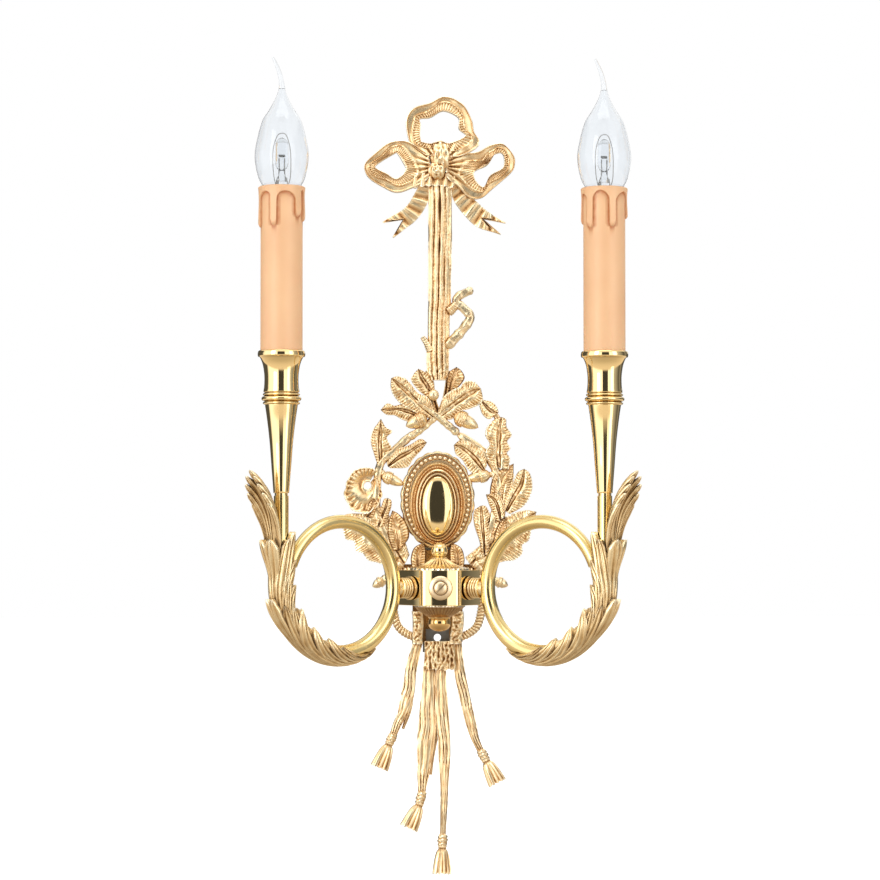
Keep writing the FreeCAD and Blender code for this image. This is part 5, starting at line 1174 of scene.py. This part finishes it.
for name, side in sides:
    body = name + "_lamp"
    centre = armSpot(side, arm["candleReach"], 0)
    glass = bmesh.new()
    for wall, top in ((0.0, flame["top"]), (flame["wall"], flame["hollowTop"])):      # outer skin, then inner
        addGlass(glass, centre, wall, top)
        tip = [e for e in glass.edges if len(e.link_faces) == 1 and e.verts[0].co.z > 300]
        bmesh.ops.holes_fill(glass, edges=tip, sides=0)
    bmesh.ops.bridge_loops(glass, edges=[e for e in glass.edges if len(e.link_faces) == 1])
    newPiece(name + "LampGlass", glass, body, "clear_glass", "clearGlass", [name + "_lamp_glass"], sharp=80)

    place = Matrix.Translation(centre)
    capsule = bmesh.new()
    addTurned(capsule, softProfile(capsuleShape, 26) + [(2.0, 262.6), (0, 262.4)], place, 40, pinched)
    newPiece(name + "LampCapsule", capsule, body, "capsule_glass", "capsuleGlass", [name + "_lamp_capsule"])
    wires = bmesh.new()
    upright = Vector((0, 1, 0))
    for s in (-1, 1):
        lead = evenLine([(centre.x + s * x, centre.y, z) for x, z in wiring["lead"]], 40)
        addSkin(wires, lead, upright, lambda share, turn: wiring["leadThick"], 8)
    hoop = evenLine([(centre.x + x, centre.y - 0.4, z) for x, z in wiring["frame"]], 90)
    addSkin(wires, hoop, upright, lambda share, turn: wiring["frameThick"], 8)
    coil = []
    for i in range(161):
        x = centre.x - wiring["coilLong"] / 2 + wiring["coilLong"] * i / 160
        coil.append(Vector((x, centre.y + wiring["coilWide"] * math.cos(i * 0.55),
                            wiring["coilLevel"] + wiring["coilWide"] * math.sin(i * 0.55))))
    addSkin(wires, coil, Vector((0, 0.3, 1)).normalized(), lambda share, turn: wiring["coilThick"], 6)
    for s, z in wiring["crimps"]:
        crimp = bmesh.ops.create_cube(wires, size=1)["verts"]
        bmesh.ops.scale(wires, vec=wiring["crimp"], verts=crimp)
        bmesh.ops.translate(wires, vec=(centre.x + s * 2.7, centre.y, z), verts=crimp)
    newPiece(name + "LampWires", wires, body, "lamp_cap", "lampWire")
    seal = bmesh.new()
    addTurned(seal, softProfile(sealShape, 20), place, 32)
    addTurned(seal, [(0, 249.7), (5.6, 249.7)], place, 32)
    newPiece(name + "LampSeal", seal, body, "capsule_glass", "capsuleGlass")

# acanthus leaves on the arms
sheath = {"gap": 0.25, "skin": 1.5, "groove": 0.55, "pitch": 17, "curl": 1.7, "notch": 0.34}
blade = {"foot": 0.7, "crown": 1.5, "vein": 0.34, "veins": 9.4, "thick": 1.9,
         "outline": [(0, 0.3), (0.4, 0.85), (0.75, 1), (0.9, 0.86), (0.97, 0.5), (1, 0.1)]}
finger = {"thick": 1.5, "grows": 0.7, "flute": 0.16, "flutes": 10,
          "outline": [(0, 0.5), (0.3, 0.9), (0.75, 1), (0.92, 0.8), (0.98, 0.45), (1, 0.12)]}


def sheathSpot(side, way, swing, high):
    # way: degrees along the ring, then millimetres up the stem; swing: degrees round the tube from its outer side
    (reach, rise), out, wide = ringSpot(way)
    turn = math.radians(swing)
    r = wide + high
    level = max(0.0, min(1.0, (way - 354) / 6))
    out = Vector((out[0], out[1])).lerp(Vector((1, 0)), level).normalized()
    return armSpot(side, reach + out[0] * r * math.cos(turn), rise + out[1] * r * math.cos(turn), r * math.sin(turn))


def addSheath(bm, side, start, stop, spread, lobes, forward, tipLift, lift=0.0):
    # a ribbed leaf wrapped round the tube; spread is how far round it reaches, lobes how many its edge has
    under, front = addSlab(bm, 110, 48)
    for group, outside in ((under, False), (front, True)):
        for v in group:
            u, w = v.co.x + 0.5, 2 * v.co.y
            edge = abs(w)
            wide = between(spread, u)
            lobe = abs(math.sin(math.pi * lobes * u)) ** 0.55
            swing = w * wide * (1 - sheath["notch"] * edge ** 2 * (1 - lobe))
            way = start + (stop - start) * u + forward * edge ** 2 * lobe * (1 - u) ** 0.3
            flare = tipLift * max(u - 0.82, 0) / 0.18 * (1 - 0.5 * edge)
            curl = sheath["curl"] * edge ** 5 * lobe
            fan = math.sin(math.pi * (lobes * u + 0.5) + edge * 2.6)
            ribs = sheath["groove"] * (abs(math.sin(w * wide / sheath["pitch"] + 0.35 * fan)) - 0.5) * 1.5
            body = sheath["skin"] * (1 - 0.55 * edge ** 3) * min(1, 0.35 + 6 * min(u, 1 - u))
            high = sheath["gap"] + lift + flare + curl + (body + ribs * (1 - 0.3 * edge) if outside else 0)
            v.co = sheathSpot(side, way, swing, max(high, 0.5 if outside else 0.15))
    bmesh.ops.remove_doubles(bm, verts=under + front, dist=0.002)


def addBlade(whole, side, start, stop, wide, bow, tipLift, lift):
    # a long leaflet lying on the tube, from one (way, swing) to another, its round tip standing proud
    bm = bmesh.new()
    under, front = addSlab(bm, 44, 20)
    wayLong, swingLong = 0.85, 0.11            # millimetres in a degree of each
    wayStep, swingStep = stop[0] - start[0], stop[1] - start[1]
    for group, outside in ((under, False), (front, True)):
        for v in group:
            u, w = v.co.x + 0.5, 2 * v.co.y
            way = start[0] + wayStep * u
            swing = start[1] + swingStep * u ** bow
            step = Vector((wayStep * wayLong, swingStep * bow * max(u, 0.05) ** (bow - 1) * swingLong))
            aside = Vector((-step.y, step.x)).normalized() * w * wide * between(blade["outline"], u)
            crown = blade["crown"] * math.sqrt(max(1 - w * w, 0)) * min(1, 0.4 + 3 * u)
            veins = blade["vein"] * math.cos(w * blade["veins"]) * min(1, 3 * u)
            high = blade["foot"] + lift + crown + veins + tipLift * between([(0.55, 0), (1, 1)], u)
            v.co = sheathSpot(side, way + aside.x / wayLong, swing + aside.y / swingLong,
                              high if outside else max(0.1, high - blade["thick"]))
    bmesh.ops.remove_doubles(bm, verts=under + front, dist=0.002)
    pour(bm, whole)


blades = [((236, 12), (276, 120), 2.6, 1.5, 0.8, 0.0), ((238, 12), (291, 146), 3.2, 1.8, 1.8, 0.2),
          ((242, 10), (311, 148), 3.4, 2.2, 2.2, 0.4), ((248, 8), (333, 146), 3.6, 2.6, 2.4, 0.6),
          ((256, 20), (338, 100), 3.4, 1.6, 0.4, 0.8), ((258, 6), (342, 58), 3.2, 1.5, 0.8, 0.9),
          ((262, 0), (348, 14), 3.2, 1.0, 4.0, 0.7),
          ((322, 70), (356, 150), 3.2, 1.8, 1.4, 1.0), ((328, 50), (373, 150), 3.4, 1.8, 1.3, 1.2),
          ((332, 70), (391, 132), 3.8, 1.4, 0.9, 1.5), ((330, 30), (386, 84), 3.4, 1.3, 0.9, 1.5),
          ((326, 0), (386, 22), 3.6, 1.0, 6.0, 1.2)]
fingers = [([(134.6, 14, 0), (135.6, 32, 0), (138.2, 50, 0), (145, 66, 0), (155, 76.4, 0)], 3.4),
           ([(134.8, 16, 1.5), (136.0, 34, 2.6), (138.9, 50, 3.4), (145.6, 63.5, 4.0), (154.6, 72.6, 4.4)], 3.2),
           ([(135.0, 18, 2.6), (136.4, 34, 4.2), (139.6, 49, 5.4), (145.8, 60, 6.2), (153.4, 67.6, 6.6)], 3.0),
           ([(135.2, 20, 3.6), (136.6, 33, 5.4), (139.8, 46, 6.8), (145.0, 55.5, 7.6), (150.6, 62, 8.0)], 2.8),
           ([(135.2, 22, 4.4), (136.4, 31, 6.2), (138.6, 41, 7.4), (142.0, 49, 8.2), (146.4, 56, 8.6)], 2.4)]


def fingerWide(share, turn, wide):
    # an oval section, flat against the stem, grooved all round
    thin = (finger["thick"] + finger["grows"] * share ** 2) * (1 + finger["flute"] * math.cos(turn * finger["flutes"]))
    return between(finger["outline"], share) / math.hypot(math.cos(turn) / thin, math.sin(turn) / wide)


print("wrapping the acanthus leaves")
for name, side in sides:
    leaf = bmesh.new()
    addSheath(leaf, side, 236, 342, [(0, 14), (0.1, 60), (0.3, 112), (0.6, 140), (0.9, 140), (1, 90)], 5, 3, 0.8)
    addSheath(leaf, side, 330, 384, [(0, 90), (0.3, 140), (0.75, 135), (0.93, 100), (1, 60)], 3, 3, 0.6, 0.3)
    for turn in (-1, 1):
        for start, stop, wide, bow, tipLift, lift in blades:
            addBlade(leaf, side, (start[0], start[1] * turn), (stop[0], stop[1] * turn), wide, bow, tipLift, lift)
    along, across = armDirections(side)
    for points, wide in fingers:
        for turn in ((-1, 1) if points[-1][2] else (1,)):
            line = evenLine([armSpot(side, reach, rise, off * turn) for reach, rise, off in points], 48)
            addSkin(leaf, line, across, lambda share, about, w=wide: fingerWide(share, about, w), 28)
    castPiece(name + "Acanthus", leaf, name + "_acanthus", look="leafBrass", sharp=50)

# ropes, binding and straps below the hub
print("tying the drop")
rope = {"thick": 6.0, "depth": 6.6, "strands": 32.3,
        "run": ((10, 10.5), (20, 10.5), (27, 7), (30.2, -2), (30.4, -13), (27.2, -26.5), (20, -32.8), (11, -35.4))}


def ropeThick(share, turn):
    return rope["thick"] / 2 * (0.72 + 0.28 * abs(math.sin(math.pi * rope["strands"] * share + turn)) ** 0.7)


for name, side in sides:
    loop = bmesh.new()
    line = evenLine([(side * x, -rope["depth"], z) for x, z in rope["run"]], 260)
    addSkin(loop, line, Vector((0, 1, 0)), ropeThick, 24)
    castPiece(name + "Rope", loop, name + "_rope")

drop = {"back": 3.0, "top": -37.2, "foot": -56.5, "wide": 20.8, "middle": 1.4, "rise": 9.4, "crinkle": 0.7}
binding = bmesh.new()


def bindingPlace(u, v):
    z = drop["top"] + (drop["foot"] - drop["top"]) * u
    ragged = 1.2 * wobble(v * 9, 1, 0, 2.2) * max(u - 0.7, 0) / 0.3
    half = drop["wide"] / 2 * (1 - 0.05 * math.sin(u * math.pi)) + 0.8 * u
    return drop["middle"] + v * half, z + ragged


def bindingRise(u, v):
    x, z = bindingPlace(u, v)
    crinkle = 0.45 * math.sin(v * 23 + 2.6 * wobble(x * 0.4, 2, z, 3.5)) + 1.5 * wobble(x, 5, z * 0.6, 1.5)
    return drop["rise"] * math.sqrt(max(1 - 0.42 * v * v, 0)) - 1.4 + crinkle * drop["crinkle"]


addRelief(binding, bindingPlace, bindingRise, 90, 90, drop["back"])
castPiece("dropBinding", binding, "drop_binding")

tassel = {"depth": 8.0, "knot": 3.5, "pleats": 11, "pleat": 0.11, "hem": 0.5}
straps = {
    "strap_far_left": ([(-13.2, -37.6), (-17.7, -55), (-19.7, -70), (-23, -84), (-27.5, -94), (-30.2, -101)],
                       [(0, 6.5), (0.3, 7.8), (0.6, 9.0), (0.85, 6.0), (1, 5)], (-31, -102.5), (-33, -107),
                       (-39.8, -123.4)),
    "strap_left": ([(-5.4, -54), (-6, -75), (-7.4, -92), (-8.4, -108), (-9.2, -122), (-10.2, -133), (-10.8, -140)],
                   [(0, 8.6), (0.35, 11), (0.6, 11.6), (0.8, 9.2), (1, 5.4)], (-11, -142), (-12.5, -148),
                   (-19.8, -164.2)),
    "strap_middle": ([(2.4, -54), (2.6, -75), (3.8, -95), (4.6, -110), (4.6, -140), (3.6, -169)],
                     [(0, 6.8), (0.3, 9), (0.5, 8.4), (0.75, 5.2), (1, 4)], (3.5, -171), (3.2, -177), (2.8, -195.2)),
    "strap_far_right": ([(13.4, -37.6), (15, -57), (18.5, -75), (22, -90), (25.5, -103), (29.4, -112)],
                        [(0, 6.2), (0.35, 7.5), (0.7, 7.2), (1, 4.6)], (30.5, -113.5), (33, -118.5), (40.8, -133.8)),
}


def addStrap(bm, spine, widths, lift, flutes=3.5):
    # a fluted ribbon along its spine, rounded across
    count = 150                         # places along the strap
    line = evenLine(spine, count)

    def place(u, v):
        i = round(u * count)
        heading = (line[min(i + 1, count)] - line[max(i - 1, 0)]).normalized()
        at = line[i] + Vector((-heading.y, heading.x, 0)) * v * between(widths, u) / 2
        return at.x, at.y

    def rise(u, v):
        sway = 0.10 * math.sin(u * 9) + 0.05 * math.sin(u * 23)
        ridge = 0.62 * (abs(math.cos(math.pi * (v + sway) * flutes / 2)) ** 0.45 - 0.6)
        fine = 0.11 * math.sin((v + sway) * 21 + 2 * math.sin(u * 11))
        return 4.0 * math.sqrt(max(1 - 0.55 * v * v, 0)) + ridge + fine + lift

    addRelief(bm, place, rise, count, 28, drop["back"])


def addTassel(bm, knot, neck, foot):
    # three turns of a knot, and a pleated skirt below it
    start = Vector((knot[0], -tassel["depth"] + 1.0, knot[1]))
    middle = Vector((neck[0], -tassel["depth"] + 0.6, neck[1]))
    end = Vector((foot[0], -tassel["depth"], foot[1]))
    for shift, thick in ((-0.25, 0.92), (0.12, 1.0), (0.55, 0.9)):
        at = start.lerp(middle, shift + 0.1)
        addBall(bm, at, (tassel["knot"] * thick, tassel["knot"] * thick * 0.95, 2.0 + 0.5 * thick), 24, 14,
                lambda c: 1 + 0.10 * math.sin(math.atan2(c.y, c.x) * 5 + c.z * 6))
    axis = (end - middle).normalized()
    long = (end - middle).length
    turn = axis.to_track_quat("Z", "Y").to_matrix().to_4x4()

    def pleats(angle, r, z):
        share = min(max(z / long, 0), 1)
        fold, fine = math.sin(angle * tassel["pleats"]), math.sin(angle * tassel["pleats"] * 2)
        return r * (1 + tassel["pleat"] * share ** 0.4 * fold - 0.03 * fine), z + tassel["hem"] * share * fold

    skirt = softProfile([(0.8, -2.6), (2.3, -1.6), (2.9, -0.4), (2.5, 0.8), (3.8, long * 0.16), (4.9, long * 0.42),
                         (5.6, long * 0.75),
                         (5.9, long * 0.96)], 34)
    addTurned(bm, [(0, -2.6)] + skirt + [(5.2, long * 0.965), (4.6, long * 0.86), (0, long * 0.80)],
              Matrix.Translation(middle) @ turn, 88, pleats)


for label, (spine, widths, knot, neck, foot) in straps.items():
    ribbon = bmesh.new()
    addStrap(ribbon, spine, widths, 0.9 if label == "strap_middle" else 0.2)
    if label == "strap_far_left":      # the second ribbon that the first is folded over
        addStrap(ribbon, [(-18.5, -60), (-18.8, -76), (-20.6, -88), (-23.5, -97)], [(0, 2), (0.5, 5), (1, 2)], -1.0, 2)
    if label == "strap_left":
        addStrap(ribbon, [(-1.5, -60), (-1.2, -80), (-2.2, -100), (-3.6, -115), (-4.6, -128)],
                 [(0, 3), (0.5, 6), (1, 2)], -0.8, 2)
    addTassel(ribbon, knot, neck, foot)
    pieceName = "".join(w.title() if i else w for i, w in enumerate(label.split("_")))
    castPiece(pieceName, ribbon, label)

# the two uprights beside the finial, and the leaf that scrolls up each side of the hub
uprightSides = ((-17.6, -10.6), (9.4, 17.4))
scrollLeaf = ([(13.5, 12.5), (13.6, 18), (12.6, 24), (9.6, 30)], [(8.5, 12.5), (8.2, 18), (8.2, 24)],
              [(17.6, 12.5), (18.2, 19), (16, 26)])


def uprightPlace(left, right):
    def place(u, v):
        x = (left + right) / 2 + v * (right - left) / 2 + 0.6 * math.sin(u * 5) - (left + right) * 0.03 * u
        return x, -17 - 22 * u
    return place


def uprightRise(u, v):
    return 8.8 + 1.6 * math.sqrt(max(1 - v * v, 0)) + 0.9 * wobble(u * 22, v * 3, 0, 1.6)


uprights = bmesh.new()
for left, right in uprightSides:
    addRelief(uprights, uprightPlace(left, right), uprightRise, 50, 16, 3.2)
for side in (-1, 1):
    scroll = [[(side * x, z) for x, z in run] for run in scrollLeaf]
    addLeaf(uprights, *scroll, 3.4)
castPiece("carvedUprights", uprights)

# studio
studio = {
    "floor": -0.215, "worldSoft": 0.85, "shine": 1.9, "floorGlow": 0.55, "aim": (0, -0.05, 0.06),
    "boxes": {"keyBox": ((-1.3, -1.5, 0.6), (0.7, 1.6), 9), "fillBox": ((1.4, -1.3, 0.4), (0.7, 1.6), 4),
              "topBox": ((0.0, -0.5, 1.7), (1.4, 0.8), 7), "backBox": ((0.6, 1.5, 0.9), (1.4, 1.2), 4)},
    # what polished brass sees, once round the horizon: 0.5 is the side of the camera
    "panels": [(0.0, 0.05), (0.215, 0.05), (0.235, 0.55), (0.27, 0.80), (0.445, 0.90), (0.45, 0.03), (0.547, 0.03),
               (0.552, 0.88), (0.64, 0.80), (0.67, 0.32), (0.75, 0.14), (0.785, 0.05), (0.83, 0.16), (0.87, 0.05),
               (1.0, 0.05)],
    # from straight down to straight up: the panels stop at both, and floor and ceiling tones take over
    "panelEnds": [(0.0, 1.0), (0.385, 1.0), (0.405, 0.0), (0.72, 0.0), (0.76, 1.0), (1.0, 1.0)],
    "tones": [(0.0, (0.22, 0.18, 0.14)), (0.2, (0.34, 0.29, 0.23)), (0.4, (0.52, 0.45, 0.38)),
              (0.5, (0.6, 0.58, 0.52)),
              (1.0, (0.5, 0.48, 0.45))]}
print("lighting the studio")
floorMesh = bmesh.new()
bmesh.ops.create_grid(floorMesh, x_segments=1, y_segments=1, size=6)
bmesh.ops.translate(floorMesh, vec=(0, 0, studio["floor"]), verts=floorMesh.verts)
floorData = bpy.data.meshes.new("floor")
floorMesh.to_mesh(floorData)
floorMesh.free()
floorPiece = bpy.data.objects.new("floor", floorData)
scene.collection.objects.link(floorPiece)
floorPiece.visible_glossy = False
floorLook, tree, shader = newMaterial("floorPaper", roughness=0.8)
shader.inputs["Base Color"].default_value = (0.86, 0.86, 0.85, 1)
rays = node(tree, "LightPath")
glow = node(tree, "Emission", Color=(1, 1, 1, 1), Strength=studio["floorGlow"])
both = node(tree, "AddShader")
join(tree, shader.outputs[0], both.inputs[0])
join(tree, glow.outputs[0], both.inputs[1])
seen = mixShader(tree, rays.outputs["Is Camera Ray"], shader.outputs[0], both.outputs[0])
join(tree, seen, tree.nodes["Material Output"].inputs[0])
floorData.materials.append(floorLook)

world = bpy.data.worlds.new("studio")
scene.world = world
world.use_nodes = True
tree = world.node_tree
tree.nodes.clear()
out = node(tree, "OutputWorld")
rays = node(tree, "LightPath")
parts = node(tree, "SeparateXYZ", Vector=node(tree, "TexCoord").outputs["Generated"])
turn = maths(tree, "ARCTAN2", parts.outputs[0], maths(tree, "MULTIPLY", parts.outputs[1], -1.0))
place = maths(tree, "ADD", maths(tree, "DIVIDE", turn, fullTurn), 0.5)        # 0.5 faces the camera
height = maths(tree, "ADD", maths(tree, "MULTIPLY", parts.outputs[2], 0.5), 0.5)
room = mixColour(tree, ramp(tree, height, studio["panelEnds"]), ramp(tree, place, studio["panels"]),
                 ramp(tree, height, studio["tones"]))
shine = node(tree, "Background", Color=room, Strength=studio["shine"]).outputs[0]
plain = node(tree, "Background", Color=(1, 1, 1, 1), Strength=1.0).outputs[0]
soft = node(tree, "Background", Color=(1, 1, 1, 1), Strength=studio["worldSoft"]).outputs[0]
lit = mixShader(tree, rays.outputs["Is Glossy Ray"], soft, shine)
clear = maths(tree, "MAXIMUM", rays.outputs["Is Camera Ray"], rays.outputs["Is Transmission Ray"])
join(tree, mixShader(tree, clear, lit, plain), out.inputs[0])


def addSoftbox(name, place, size, power):
    # a soft lamp that looks at the hub
    lightData = bpy.data.lights.new(name, "AREA")
    lightData.shape = "RECTANGLE"
    lightData.size, lightData.size_y = size
    lightData.energy = power
    box = bpy.data.objects.new(name, lightData)
    box.location = place
    box.rotation_euler = (Vector(studio["aim"]) - Vector(place)).to_track_quat("-Z", "Y").to_euler()
    box.visible_camera = False
    box.visible_transmission = False
    scene.collection.objects.link(box)


for name, (place, size, power) in studio["boxes"].items():
    addSoftbox(name, place, size, power)

print("sconce ready")
